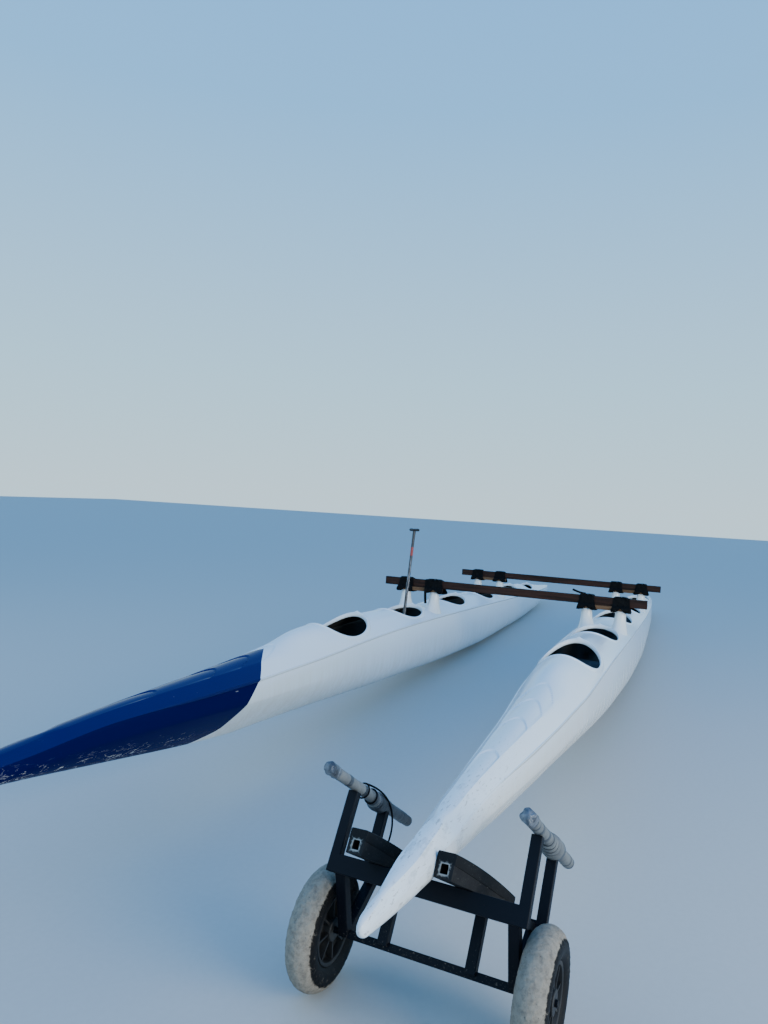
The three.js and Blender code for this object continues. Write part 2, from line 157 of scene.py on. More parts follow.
@dataclass(frozen=True)
class Placement:
    """Where the canoe's own frame lies in the row frame, and the CAD nodes that stand there."""

    x: float
    y: float
    nodes: tuple[str, ...]
    lift: float = HULL_LIFT
    stance: float = STANCE

    @classmethod
    def from_frame(cls, frame: dict) -> Placement:
        """Reads the canoe's place from the fore beam's node.


        Returns:
            The placement that puts the beam's middle where its node is.
        """
        low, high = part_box("fore_beam")
        middle = (low + high) / 2
        return cls(middle.x + BEAM_MIDDLE_HEIGHT * math.sin(STANCE), middle.y, tuple(frame["nodes"]))

    def matrix(self) -> Matrix:
        """The canoe frame's matrix in the row frame."""
        shift = Matrix.Translation((self.x, self.y, self.lift))
        return shift @ Matrix.Rotation(-self.stance, 4, "Y")

    def hull(self, side: Side) -> Matrix:
        """The matrix of one hull's own frame."""
        return self.matrix() @ Matrix.Translation((0.0, side.offset, 0.0))


def moved(points: Array, matrix: Matrix) -> Array:
    """Moves N by 3 points by a matrix."""
    m = np.array(matrix)
    return points @ m[:3, :3].T + m[:3, 3]


def smooth_step(value: Array, low: float, high: float) -> Array:
    """Runs smoothly from 0 at low to 1 at high."""
    t = np.clip((np.asarray(value, float) - low) / (high - low), 0.0, 1.0)
    return t * t * (3 - 2 * t)


def smooth_table(xs: Array, ys: Array, at: Array) -> Array:
    """Interpolates a table by monotone cubics, with no overshoot.

    Args:
        xs: places in rising order.
        ys: values there.
        at: places to read.

    Returns:
        The values at those places.
    """
    step = np.diff(xs)
    slope = np.diff(ys) / step
    tangent = np.zeros_like(ys)
    same = slope[:-1] * slope[1:] > 0
    w1 = 2 * step[1:] + step[:-1]
    w2 = step[1:] + 2 * step[:-1]
    safe = np.where(same, slope[:-1], 1.0), np.where(same, slope[1:], 1.0)
    tangent[1:-1] = np.where(same, (w1 + w2) / (w1 / safe[0] + w2 / safe[1]), 0.0)
    tangent[0], tangent[-1] = slope[0], slope[-1]
    i = np.clip(np.searchsorted(xs, at) - 1, 0, len(step) - 1)
    t = np.clip((at - xs[i]) / step[i], 0.0, 1.0)
    h = step[i]
    return (
        (1 + 2 * t) * (1 - t) ** 2 * ys[i]
        + t * (1 - t) ** 2 * h * tangent[i]
        + t * t * (3 - 2 * t) * ys[i + 1]
        + t * t * (t - 1) * h * tangent[i + 1]
    )


def spline_points(points: Array, steps: int) -> Array:
    """Runs a smooth line through N by 3 points, with a number of steps between two of them.

    Args:
        points: N by 3 points of the line.
        steps: how many steps lie between two of them.

    Returns:
        The line's points, each given one among them.
    """
    p = np.concatenate([2 * points[:1] - points[1:2], points, 2 * points[-1:] - points[-2:-1]])
    t = (np.arange(steps) / steps)[:, None]
    made = []
    for a, b, c, d in zip(p, p[1:], p[2:], p[3:]):
        bend, twist = 2 * a - 5 * b + 4 * c - d, 3 * b - a - 3 * c + d
        made.append(0.5 * (2 * b + (c - a) * t + bend * t**2 + twist * t**3))
    return np.concatenate([*made, points[-1:]])


def around(count: int) -> Array:
    """The angles of one full turn in even steps."""
    return np.linspace(0, 2 * math.pi, count, endpoint=False)


def circle(radius: float, count: int) -> Array:
    """A circle's N by 2 outline."""
    turn = around(count)
    return np.stack([np.cos(turn), np.sin(turn)], axis=1) * radius


def hoop(radius: float, y: float, height: float = 0.0, count: int = 20) -> Array:
    """A circle of points across the y axis."""
    ahead, above = circle(radius, count).T
    return np.stack([ahead, np.full(count, y), height + above], axis=1)


def mirrored(right: Sequence[Pair]) -> list[Pair]:
    """A closed ring from its right half, given from its first corner round to its last."""
    left = [(-across, above) for across, above in right]
    return [left[0], *right, *left[:0:-1]]


# Meshes


def grid_faces(rows: int, columns: int, close_rows: bool = False, close_columns: bool = False) -> Array:
    """Quads over a grid of points, row after row.

    Args:
        rows: number of rows.
        columns: points in each row.
        close_rows: whether the last row joins the first.
        close_columns: whether each row is a ring.

    Returns:
        An N by 4 array of point numbers.
    """
    r = np.arange(rows if close_rows else rows - 1)
    c = np.arange(columns if close_columns else columns - 1)
    rr, cc = np.meshgrid(r, c, indexing="ij")
    r2, c2 = (rr + 1) % rows, (cc + 1) % columns
    quads = [rr * columns + cc, rr * columns + c2, r2 * columns + c2, r2 * columns + cc]
    return np.stack([q.ravel() for q in quads], axis=1)


@dataclass
class Form:
    """Points and faces that are gathered into one piece."""

    points: list[Array] = field(default_factory=list)
    faces: list[list[int]] = field(default_factory=list)
    slots: list[int] = field(default_factory=list)
    count: int = 0

    def add(self, points: Sequence, faces: Sequence) -> Form:
        """Adds points and the faces between them, numbered from 0.

        Args:
            points: the points' coordinates.
            faces: lists of point numbers.

        Returns:
            The form itself.
        """
        points = np.asarray(points, float).reshape(-1, 3)
        self.points.append(points)
        self.faces.extend([int(i) + self.count for i in f] for f in faces)
        self.slots.extend([0] * len(faces))
        self.count += len(points)
        return self

    def loft(self, rings: Sequence) -> Form:
        """Adds a body through rings of points, closed at both ends.

        Args:
            rings: R by N by 3 coordinates.

        Returns:
            The form itself.
        """
        r, n = np.shape(rings)[:2]
        faces = [list(f) for f in grid_faces(r, n, close_columns=True)]
        faces += [list(range(n))[::-1], list(range((r - 1) * n, r * n))]
        return self.add(rings, faces)

    def tube(self, path: Array, profile: Array, across: Array, above: Array, closed: bool) -> Form:
        """Sets a profile on a path's points.

        Args:
            path: N by 3 points of the path.
            profile: M by 2 outline.
            across: the direction of the profile's first axis at each point.
            above: the direction of its second axis there.
            closed: whether the path is a loop.

        Returns:
            The form itself.
        """
        rings = path[:, None] + profile[:, :1] * across[:, None] + profile[:, 1:] * above[:, None]
        if closed:
            return self.add(rings, grid_faces(len(path), len(profile), True, True))
        return self.loft(rings)

    def sweep(self, path: Array, profile: Array, up: Point = UPWARD, closed: bool = False) -> Form:
        """Carries a profile along a path, its second axis towards the up direction.

        Args:
            path: N by 3 points of the path.
            profile: M by 2 outline.
            up: the direction that the profile's second axis keeps to.
            closed: whether the path is a loop.

        Returns:
            The form itself.
        """
        ahead = np.roll(path, -1, 0) - np.roll(path, 1, 0) if closed else np.gradient(path, axis=0)
        ahead /= np.linalg.norm(ahead, axis=1, keepdims=True)
        across = np.cross(ahead, np.array(up, float))
        across /= np.maximum(np.linalg.norm(across, axis=1, keepdims=True), 1e-9)
        return self.tube(path, profile, across, np.cross(across, ahead), closed)

    def block(self, low: Point, high: Point) -> Form:
        """Adds a squared block between two corners.

        Args:
            low: the lowest corner.
            high: the highest corner.

        Returns:
            The form itself.
        """
        (x0, y0, z0), (x1, y1, z1) = low, high
        ring = [(x0, y0), (x1, y0), (x1, y1), (x0, y1)]
        return self.loft([[(x, y, z) for x, y in ring] for z in (z0, z1)])

    def piece(self, name: str, matrix: Matrix, materials: Sequence[Material], sharp: float = 35.0) -> Object:
        """Makes the Blender object.

        Args:
            name: the piece's name.
            matrix: from the points' frame to the row frame.
            materials: the materials, in slot order.
            sharp: the angle in degrees over which an edge stays crisp.

        Returns:
            The object, with its points in the row frame.
        """
        own = np.concatenate(self.points)
        mesh = bpy.data.meshes.new(name)
        mesh.from_pydata(moved(own, matrix).tolist(), [], self.faces)
        for material in materials:
            mesh.materials.append(material)
        mesh.polygons.foreach_set("material_index", self.slots)
        mesh.polygons.foreach_set("use_smooth", [True] * len(self.faces))
        kept = mesh.attributes.new(HULL_ATTRIBUTE, "FLOAT_VECTOR", "POINT")
        kept.data.foreach_set("vector", own.astype(np.float32).ravel())
        mesh.validate()
        mesh.update()
        turn_outwards(mesh)
        mesh.set_sharp_from_angle(angle=math.radians(sharp))
        return in_scene(name, mesh)


def in_scene(name: str, data: bpy.types.ID) -> Object:
    """Makes an object and puts it into the scene.

    Args:
        name: the object's name.
        data: its mesh, curve, lamp or camera.

    Returns:
        The object.
    """
    made = bpy.data.objects.new(name, data)
    bpy.context.scene.collection.objects.link(made)
    return made


def turn_outwards(mesh: bpy.types.Mesh) -> None:
    """Turns a mesh's faces outwards.

    Args:
        mesh: the mesh, which is changed.
    """
    work = bmesh.new()
    work.from_mesh(mesh)
    bmesh.ops.recalc_face_normals(work, faces=work.faces)
    work.to_mesh(mesh)
    work.free()


def dress(
    made: Object,
    replaces: Sequence[str] = (),
    body: str = "root",
    bevel: float = 0.0,
) -> None:
    """Puts a piece on its body, hides the CAD nodes that it stands for and rounds its edges.

    Args:
        made: the piece.
        replaces: CAD nodes that it stands for.
        body: the CAD body that it rides on.
        bevel: width of the rounded edges, or 0.
    """
    if bevel:
        rounding = made.modifiers.new("rounding", "BEVEL")
        rounding.width = bevel
        rounding.segments = 3
        rounding.limit_method = "ANGLE"
        rounding.angle_limit = math.radians(30)
        rounding.harden_normals = True
    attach(made, body)
    if replaces:
        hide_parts(*replaces)
    LOG.info("%s: %d faces on %s", made.name, len(made.data.polygons), body)


def strip_profile(width: float, thick: float, edge: float = 0.3) -> Array:
    """A flat strip's outline with eased corners, lying across the sweep.

    Args:
        width: the strip's width.
        thick: its thickness.
        edge: how much of the thickness each corner loses.

    Returns:
        An 8 by 2 outline.
    """
    w, t, e = width / 2, thick / 2, thick * edge
    above = [(w, t - e), (w - e, t), (-w + e, t), (-w, t - e)]
    below = [(across, -height) for across, height in above[::-1]]
    return np.array([below[-1], *above, *below[:-1]])


# Shader maths


def maths(operation: str, swapped: bool = False) -> Callable[[Field, Operand], Field]:
    """Makes a Field's method that adds one node of an operation, its inputs swapped or not.

    Args:
        operation: the operation's name in Blender.
        swapped: whether the other value comes first.

    Returns:
        The method.
    """

    def method(self: Field, other: Operand) -> Field:
        """Joins the field and another value."""
        a, b = (other, self) if swapped else (self, other)
        return self.join(operation, a, b)

    return method


class Field:
    """A socket of a node tree that takes part in Python arithmetic."""

    def __init__(self, tree: Finish, socket: bpy.types.NodeSocket) -> None:
        """Keeps the tree and the socket."""
        self.tree = tree
        self.socket = socket

    @property
    def wide(self) -> bool:
        """Whether the socket holds a vector or a colour."""
        return self.socket.type in ("VECTOR", "RGBA")

    def join(self, operation: str, a: Operand, b: Operand) -> Field:
        """Adds one Math or Vector Math node.

        Args:
            operation: the operation's name in Blender.
            a: the first input.
            b: the second input.

        Returns:
            The node's result.
        """
        wide = any(isinstance(v, Field) and v.wide for v in (a, b))
        if not wide:
            return self.tree.node("ShaderNodeMath", {"operation": operation}, {0: a, 1: b})
        a, b = ((v,) * 3 if isinstance(v, (int, float)) else v for v in (a, b))
        return self.tree.node("ShaderNodeVectorMath", {"operation": operation}, {0: a, 1: b})

    __add__ = __radd__ = maths("ADD")
    __sub__ = maths("SUBTRACT")
    __rsub__ = maths("SUBTRACT", swapped=True)
    __mul__ = __rmul__ = maths("MULTIPLY")
    __truediv__ = maths("DIVIDE")
    __pow__ = maths("POWER")
    low = maths("MINIMUM")
    high = maths("MAXIMUM")

    def __abs__(self) -> Field:
        """Size without sign."""
        return self.join("ABSOLUTE", self, 0.0)

    def step(self, start: float, end: float) -> Field:
        """Runs smoothly from 0 at start to 1 at end, either way round.

        Args:
            start: the value that gives 0.
            end: the value that gives 1.

        Returns:
            The smooth step.
        """
        settings = {"interpolation_type": "SMOOTHSTEP", "clamp": True}
        rising = end > start
        low, high = (start, end) if rising else (end, start)
        sockets = {0: self, 1: low, 2: high, 3: 0.0 if rising else 1.0, 4: 1.0 if rising else 0.0}
        return self.tree.node("ShaderNodeMapRange", settings, sockets)

    def parts(self) -> tuple[Field, Field, Field]:
        """The three numbers of a vector."""
        made = self.tree.add("ShaderNodeSeparateXYZ", {}, {0: self})
        return tuple(Field(self.tree, made.outputs[i]) for i in range(3))

    def blend(self, off: Operand, on: Operand) -> Field:
        """Mixes two colours by this value: off at 0, on at 1."""
        return self.tree.node("ShaderNodeMix", {"data_type": "RGBA"}, {0: self, 6: off, 7: on}, 2)


Operand = Union[Field, float, Sequence[float]]


class Finish:
    """A material in the making."""

    def __init__(self, name: str) -> None:
        """Makes an empty material with its shader."""
        self.material = bpy.data.materials.new(name)
        self.material.use_nodes = True
        self.tree = self.material.node_tree
        self.shader = self.tree.nodes["Principled BSDF"]

    def add(self, kind: str, settings: dict, sockets: dict) -> bpy.types.Node:
        """Adds a node with its settings, then feeds its sockets, by name or number.

        Args:
            kind: the node's type.
            settings: its settings, set first.
            sockets: values or fields for its inputs, by name or number.

        Returns:
            The node.
        """
        made = self.tree.nodes.new(kind)
        for key, value in settings.items():
            setattr(made, key, value)
        for key, value in sockets.items():
            self.feed(made.inputs[key], value)
        return made

    def node(self, kind: str, settings: dict, sockets: dict, output: int | str = 0) -> Field:
        """Adds a node and returns one of its outputs."""
        return Field(self, self.add(kind, settings, sockets).outputs[output])

    def feed(self, socket: bpy.types.NodeSocket, value: Operand) -> None:
        """Sets or links one input.

        Args:
            socket: the input.
            value: a field to link, or a value to set.
        """
        if isinstance(value, Field):
            self.tree.links.new(value.socket, socket)
        elif isinstance(value, (int, float)):
            socket.default_value = value
        else:
            room = len(socket.default_value)
            socket.default_value = (*value, 1.0)[:room]

    def place(self) -> Field:
        """The point in the piece's own frame."""
        settings = {"attribute_type": "GEOMETRY", "attribute_name": HULL_ATTRIBUTE}
        return self.node("ShaderNodeAttribute", settings, {}, "Vector")

    def row(self) -> Field:
        """The point in the row frame."""
        return self.node("ShaderNodeTexCoord", {}, {}, "Object")

    def noise(
        self, at: Field, scale: float, detail: float = 4.0, rough: float = 0.55, twist: float = 0.0
    ) -> Field:
        """Fractal noise from 0 to 1."""
        sockets = {"Vector": at, "Scale": scale, "Detail": detail, "Roughness": rough, "Distortion": twist}
        return self.node("ShaderNodeTexNoise", {}, sockets)

    def bump(self, height: Field, strength: float, reach: float) -> Field:
        """Turns a height into a normal."""
        return self.node("ShaderNodeBump", {}, {"Height": height, "Strength": strength, "Distance": reach})

    def finish(self, **sockets: Operand) -> Material:
        """Sets the shader's sockets, with underscores for spaces, and returns the material.

        Args:
            **sockets: values or fields for the shader's inputs.

        Returns:
            The material.
        """
        for key, value in sockets.items():
            self.feed(self.shader.inputs[key.replace("_", " ").title().replace("Ior", "IOR")], value)
        return self.material


@dataclass(frozen=True)
class Gelcoat:
    """Gloss hull paint with dirt low on the sides, a streaky cream tint below the seam, scuffs and fine
    scratches.
    """

    name: str
    scheme: Scheme = Scheme.PLAIN
    white: Colour = (0.72, 0.78, 0.82)
    blue: Colour = (0.0012, 0.0045, 0.085)
    dust: Colour = (0.50, 0.45, 0.37)
    grime: Colour = (0.20, 0.17, 0.14)
    dirt: float = 0.5
    ior: float = 1.42

    def material(self) -> Material:
        """Builds the paint.

        Returns:
            The material.
        """
        f = Finish(self.name)
        at = f.place()
        x, y, z = at.parts()
        painted = self.scheme is Scheme.BLUE_BOW
        if painted:
            hang = STARBOARD_DROOP
            z = z + ((x - hang.start) / hang.reach).high(0.0) ** hang.power * hang.depth
        seam = 0.366 + ((3.7 - x) * 0.065).high(0.0).low(0.148) - (x - 4.6).high(0.0) * 0.075
        cloud = f.noise(at, 1.7, 3.0)
        paint = (cloud * 0.10).blend(self.white, (0.66, 0.70, 0.74))
        low = (z / seam).step(0.95, 0.10)
        streaks = f.noise(at * (9.0, 9.0, 1.1), 2.4, 6.0, 0.7)
        film = low * streaks.step(0.35, 0.70) * self.dirt * 1.3
        drip = f.noise(at * (26.0, 26.0, 2.2), 1.0, 3.0, 0.6).step(0.62, 0.74) * low * 0.28 * self.dirt
        bow = x.step(3.6, 4.9)
        under = (z - seam).step(0.01, -0.09)
        # A streaky cream tint below the seam, from mid hull towards the bow.
        cream = under * x.step(1.0, 4.0) * (0.20 + streaks * 0.60)
        speck = f.noise(at * (9.0, 34.0, 34.0), 2.6, 4.0, 0.65).step(0.60, 0.64) * bow
        smudge = f.noise(at * (4.0, 9.0, 9.0), 2.6, 5.0, 0.65).step(0.52, 0.68) * x.step(4.4, 5.0)
        paint = cream.blend(paint, (0.68, 0.64, 0.55))
        paint = film.blend(paint, self.dust)
        paint = (drip + speck * 0.45).low(1.0).blend(paint, self.grime)
        paint = (smudge * 0.42).blend(paint, (0.30, 0.33, 0.36))
        blue = x * 0.0
        if painted:
            side = 3.852 - z + (0.11 - z).high(0.0) ** 2.0 * 60.0
            edge = side - (side - 3.19 - abs(y) * 1.87).high(0.0) * z.step(0.445, 0.462)
            blue = (x - edge).step(-0.002, 0.002)
            paint = blue.blend(paint, self.worn_blue(f, at, x, z))
        lines = f.noise(at * (2.5, 40.0, 40.0), 2.1, 2.0, 0.5).step(0.70, 0.735)
        ticks = f.noise(at * (60.0, 60.0, 6.0), 1.0, 2.0, 0.5).step(0.735, 0.76)
        scratch = (lines * 0.5 + ticks).low(1.0) * f.noise(at, 3.1, 2.0).step(0.46, 0.60) * (1.0 - blue)
        paint = (scratch * 0.35).blend(paint, (0.33, 0.33, 0.33))
        gloss = 0.16 + film * 0.4 * (1.0 - blue) + scratch * 0.2 + smudge * 0.12
        skin = f.noise(at, 130.0, 2.0) * 0.12 + f.noise(at, 5.0, 2.0) + scratch * -0.4
        return f.finish(base_color=paint, roughness=gloss, normal=f.bump(skin, 0.12, 0.004), ior=self.ior)

    def worn_blue(self, f: Finish, at: Field, x: Field, z: Field) -> Field:
        """The blue coat, chipped and wispy near the keel of the bow and rubbed all over.

        Args:
            f: the paint in the making.
            at: the point in the hull's frame.
            x: its place along the hull.
            z: its height.

        Returns:
            The coat's colour.
        """
        keel = 0.02 + (x - 3.6).high(0.0) * 0.105
        close = (z - keel).step(0.12, 0.02)
        wisps = abs(f.noise(at * (2.4, 8.0, 8.0), 3.2, 3.0, 0.55, 0.9) - 0.5).step(0.012, 0.004)
        worn = f.noise(at, 7.0, 3.0).step(0.47, 0.56)
        chips = f.noise(at * (6.0, 18.0, 18.0), 2.2, 6.0, 0.75).step(0.60, 0.65)
        marks = (wisps * worn * 0.55 + chips * 0.85).low(1.0) * close * x.step(3.8, 4.4)
        rub = f.noise(at * (3.0, 26.0, 26.0), 2.1, 2.0, 0.5).step(0.735, 0.755) * 0.35
        return (marks + rub).low(1.0).blend(self.blue, (0.50, 0.49, 0.46))


@dataclass(frozen=True)
class Lining:
    """The inside of a hull's walls: grey fibreglass drawn very dark, painted shade of the deep wells."""

    name: str = "hull_lining"

    def material(self) -> Material:
        """Builds the inner face, dark with painted shade.

        Returns:
            The material.
        """
        f = Finish(self.name)
        at = f.place()
        weave = f.noise(at, 60.0, 4.0)
        patch = f.noise(at, 3.0, 4.0)
        # Very dark tones: painted shade inside the wells, with random patches of tone.
        base = patch.blend((0.012, 0.013, 0.015), (0.050, 0.048, 0.042))
        return f.finish(base_color=base, roughness=0.55 + weave * 0.2, normal=f.bump(weave, 0.3, 0.003))


@dataclass(frozen=True)
class Timber:
    """Sawn and oiled wood with its grain along Y."""

    name: str
    dark: Colour
    mid: Colour
    pale: Colour
    gloss: float = 0.5

    def material(self) -> Material:
        """Builds the wood.

        Returns:
            The material.
        """
        f = Finish(self.name)
        at = f.row()
        long = at * (1.0, 0.045, 1.0)
        fibre = f.noise(long, 190.0, 6.0, 0.7, 0.4)
        band = f.noise(long, 42.0, 3.0, 0.5, 0.8)
        wear = f.noise(at, 9.0, 5.0, 0.6)
        base = band.step(0.30, 0.72).blend(self.dark, self.mid)
        base = (fibre.step(0.55, 0.75) * 0.55).blend(base, self.pale)
        base = (wear.step(0.60, 0.78) * 0.5).blend(base, self.dark)
        rough = self.gloss + fibre * 0.25
        bump = f.bump(fibre + band * 0.5, 0.45, 0.0012)
        return f.finish(base_color=base, roughness=rough, normal=bump, specular_ior_level=0.18)


@dataclass(frozen=True)
class Rubber:
    """Black strip or moulded rubber, dusty on its faces."""

    name: str
    base: Colour = (0.0022, 0.0022, 0.0026)
    dusty: Colour = (0.020, 0.019, 0.018)
    dust: float = 0.25
    grain: float = 260.0

    def material(self) -> Material:
        """Builds the rubber.

        Returns:
            The material.
        """
        f = Finish(self.name)
        at = f.row()
        grain = f.noise(at, self.grain, 3.0)
        patch = f.noise(at, 21.0, 5.0, 0.65)
        base = (patch.step(0.48, 0.74) * self.dust).blend(self.base, self.dusty)
        bump = f.bump(grain + patch, 0.35, 0.0015)
        return f.finish(base_color=base, roughness=0.55 + grain * 0.3, normal=bump, specular_ior_level=0.10)


@dataclass(frozen=True)
class CartPaint:
    """Blue-black enamel on square tube, with sand and chips."""

    name: str = "cart_paint"

    def material(self) -> Material:
        """Builds the enamel.

        Returns:
            The material.
        """
        f = Finish(self.name)
        at = f.row()
        x, y, z = at.parts()
        fine = f.noise(at, 150.0, 3.0)
        patch = f.noise(at, 14.0, 5.0, 0.65)
        chip = f.noise(at, 70.0, 4.0, 0.7).step(0.71, 0.73)
        sand = f.noise(at, 120.0, 6.0, 0.8).step(0.58, 0.66) * z.step(0.40, 0.20)
        base = patch.blend((0.0010, 0.0016, 0.0040), (0.0024, 0.0034, 0.0070))
        base = (chip * 0.5).blend(base, (0.06, 0.045, 0.035))
        base = (sand * 0.55).blend(base, (0.30, 0.25, 0.20))
        rough = 0.46 + patch * 0.14 + sand * 0.4
        bump = f.bump(fine * 0.3 + sand + chip * -0.6, 0.4, 0.0015)
        return f.finish(base_color=base, roughness=rough, normal=bump, specular_ior_level=0.16)


@dataclass(frozen=True)
class Foam:
    """Closed-cell foam sleeve under pale tape, weathered and dirty."""

    name: str = "foam_sleeve"

    def material(self) -> Material:
        """Builds the foam.

        Returns:
            The material.
        """
        f = Finish(self.name)
        at = f.row()
        cell = f.noise(at, 320.0, 3.0)
        crease = f.noise(at, 60.0, 5.0, 0.7, 1.0)
        patch = f.noise(at, 24.0, 5.0, 0.6)
        base = patch.step(0.3, 0.8).blend((0.155, 0.166, 0.168), (0.090, 0.097, 0.102))
        base = (crease.step(0.60, 0.70) * 0.45).blend(base, (0.075, 0.085, 0.095))
        bump = f.bump(cell * 0.4 + crease * 1.2, 0.45, 0.0016)
        return f.finish(base_color=base, roughness=0.55 + cell * 0.25, normal=bump)


@dataclass(frozen=True)
class Tape:
    """Wound adhesive tape, with wrinkles and worn patches."""

    name: str
    base: Colour
    worn: Colour
    gloss: float = 0.35
    metal: float = 0.0
    crease: float = 0.7

    def material(self) -> Material:
        """Builds the tape.

        Returns:
            The material.
        """
        f = Finish(self.name)
        at = f.row()
        crease = f.noise(at, 70.0, 5.0, 0.7, 1.2)
        patch = f.noise(at, 30.0, 4.0)
        base = patch.step(0.35, 0.75).blend(self.base, self.worn)
        rough = self.gloss + crease * 0.25
        bump = f.bump(crease, self.crease, 0.002)
        return f.finish(base_color=base, roughness=rough, metallic=self.metal, normal=bump)


@dataclass(frozen=True)
class BunkRubber:
    """A bunk: black rubber pad over a dark grey body, sand smeared round its square hole, painted shade
    inside the hole.
    """

    name: str = "bunk_rubber"
    size: BunkSize = BunkSize()

    def material(self) -> Material:
        """Builds the rubber, in the bunk's own frame.

        Returns:
            The material.
        """
        f = Finish(self.name)
        at = f.place()
        x, y, z = at.parts()
        b = self.size
        back = x * (-1.0 / b.long)
        top = b.high - back * back * (b.high - b.low)
        pad = (z - top * (b.pad - back * b.pad_lean)).step(-0.0008, 0.0008)
        grain = f.noise(at, 240.0, 3.0)
        patch = f.noise(at, 21.0, 5.0, 0.65)
        body = patch.step(0.3, 0.8).blend((0.0060, 0.0060, 0.0070), (0.0135, 0.0130, 0.0135))
        rubber = patch.step(0.45, 0.8).blend((0.0012, 0.0014, 0.0022), (0.006, 0.006, 0.007))
        base = pad.blend(body, rubber)
        away = (abs(y) - b.hole_half).high(abs(z - b.hole_middle) - (b.hole_high - b.hole_middle))
        ragged = f.noise(at, 90.0, 5.0, 0.7)
        smear = (away + ragged * 0.026).step(0.021, 0.012) * x.step(-0.006, -0.001) * away.step(-0.003, 0.0)
        fleck = f.noise(at, 150.0, 4.0, 0.7).step(0.66, 0.69)
        base = (smear * 0.9 + fleck * 0.3).low(1.0).blend(base, (0.40, 0.38, 0.34))
        # Painted shade: the walls inside the square hole are drawn darker.
        deep = away.step(-0.0005, -0.0015) * x.step(-0.002, -0.006)
        base = deep.blend(base, (0.004, 0.004, 0.004))
        rough = 0.55 + grain * 0.25 + smear * 0.2
        bump = f.bump(grain + patch + smear, 0.35, 0.0015)
        return f.finish(base_color=base, roughness=rough, normal=bump, specular_ior_level=0.22)


@dataclass(frozen=True)
class SandedTyre:
    """Balloon tyre under a coat of damp beach sand."""

    name: str = "sanded_tyre"

    def material(self) -> Material:
        """Builds the tyre: sand over the tread, bare rubber and specks on the walls.

        Returns:
            The material.
        """
        f = Finish(self.name)
        at = f.place()
        x, y, z = at.parts()
        radius = (x * x + z * z) ** 0.5
        grit = f.noise(at, 420.0, 5.0, 0.8)
        clump = f.noise(at, 46.0, 6.0, 0.75)
        tread = (radius + clump * 0.030 - y.step(-0.01, 0.03) * 0.022).step(0.186, 0.192)
        speck = (grit * 0.45 + clump * 0.55).step(0.560, 0.600) * radius.step(0.135, 0.20)
        cover = tread.high(speck * 0.8)
        pale = grit.blend((0.27, 0.235, 0.185), (0.42, 0.37, 0.30))
        damp = clump.step(0.30, 0.62).blend((0.21, 0.18, 0.145), pale)
        hole = f.noise(at, 120.0, 4.0, 0.6).step(0.66, 0.70)
        damp = (hole * 0.8).blend(damp, (0.05, 0.042, 0.035))
        base = cover.blend((0.0022, 0.0022, 0.0026), damp)
        bump = f.bump(grit * 0.7 * cover + clump * 1.6 * cover - hole, 0.9, 0.005)
        return f.finish(base_color=base, roughness=0.60 + cover * 0.34, normal=bump, specular_ior_level=0.22)


@dataclass(frozen=True)
class Moulding:
    """Moulded plastic, lightly textured."""

    name: str
    base: Colour
    worn: Colour
    rough: float = 0.42

    def material(self) -> Material:
        """Builds the plastic.

        Returns:
            The material.
        """
        f = Finish(self.name)
        at = f.row()
        grain = f.noise(at, 210.0, 3.0)
        patch = f.noise(at, 11.0, 5.0, 0.6)
        base = patch.step(0.4, 0.8).blend(self.base, self.worn)
        rough = self.rough + patch * 0.2
        return f.finish(base_color=base, roughness=rough, normal=f.bump(grain, 0.25, 0.001))


@dataclass(frozen=True)
class Shaft:
    """Paddle shaft of wound carbon: a red band, and silvery wear below it."""

    name: str = "paddle_carbon"
    band: Pair = (1.10, 1.19)

    def material(self) -> Material:
        """Builds the shaft's finish, along its own length.

        Returns:
            The material.
        """
        f = Finish(self.name)
        at = f.place()
        x, y, z = at.parts()
        weave = f.noise(at * (1.0, 1.0, 0.35), 330.0, 2.0)
        wear = f.noise(at * (1.0, 1.0, 0.16), 90.0, 5.0, 0.7)
        worn = wear.step(0.50, 0.66) * z.step(1.12, 1.02) * z.step(0.45, 0.62)
        base = weave.blend((0.008, 0.008, 0.010), (0.028, 0.028, 0.032))
        base = (worn * 0.8).blend(base, (0.34, 0.35, 0.38))
        low, high = self.band
        red = z.step(low, low + 0.002) * z.step(high, high - 0.002)
        base = red.blend(base, (0.30, 0.018, 0.014))
        bump = f.bump(weave + wear, 0.2, 0.0006)
        return f.finish(base_color=base, roughness=0.28 + worn * 0.25, normal=bump)


# Hull


@dataclass(frozen=True)
class Cockpit:
    """One cockpit's opening: its middle, and its half length and half width."""

    x: float
    half_long: float = 0.372
    half_wide: float = 0.205
    power: float = 2.2

    def edge(self, turn: Array, out: Array | float = 0.0) -> tuple[Array, Array]:
        """Points round the opening, seen from above.

        Args:
            turn: angles, 0 towards the bow.
            out: how far outside the edge, in metres.

        Returns:
            The x and y of the points.
        """
        power = 2 / self.power
        c, s = np.cos(turn), np.sin(turn)
        x = np.sign(c) * np.abs(c) ** power * self.half_long
        y = np.sign(s) * np.abs(s) ** power * self.half_wide
        nx, ny = c / self.half_long, s / self.half_wide
        size = np.hypot(nx, ny)
        return self.x + x + nx / size * out, y + ny / size * out

    def inside(self, x: Array, y: Array) -> Array:
        """How far in a point is: under 1 is in the opening."""
        along, across = np.abs((x - self.x) / self.half_long), np.abs(y / self.half_wide)
        return along**self.power + across**self.power


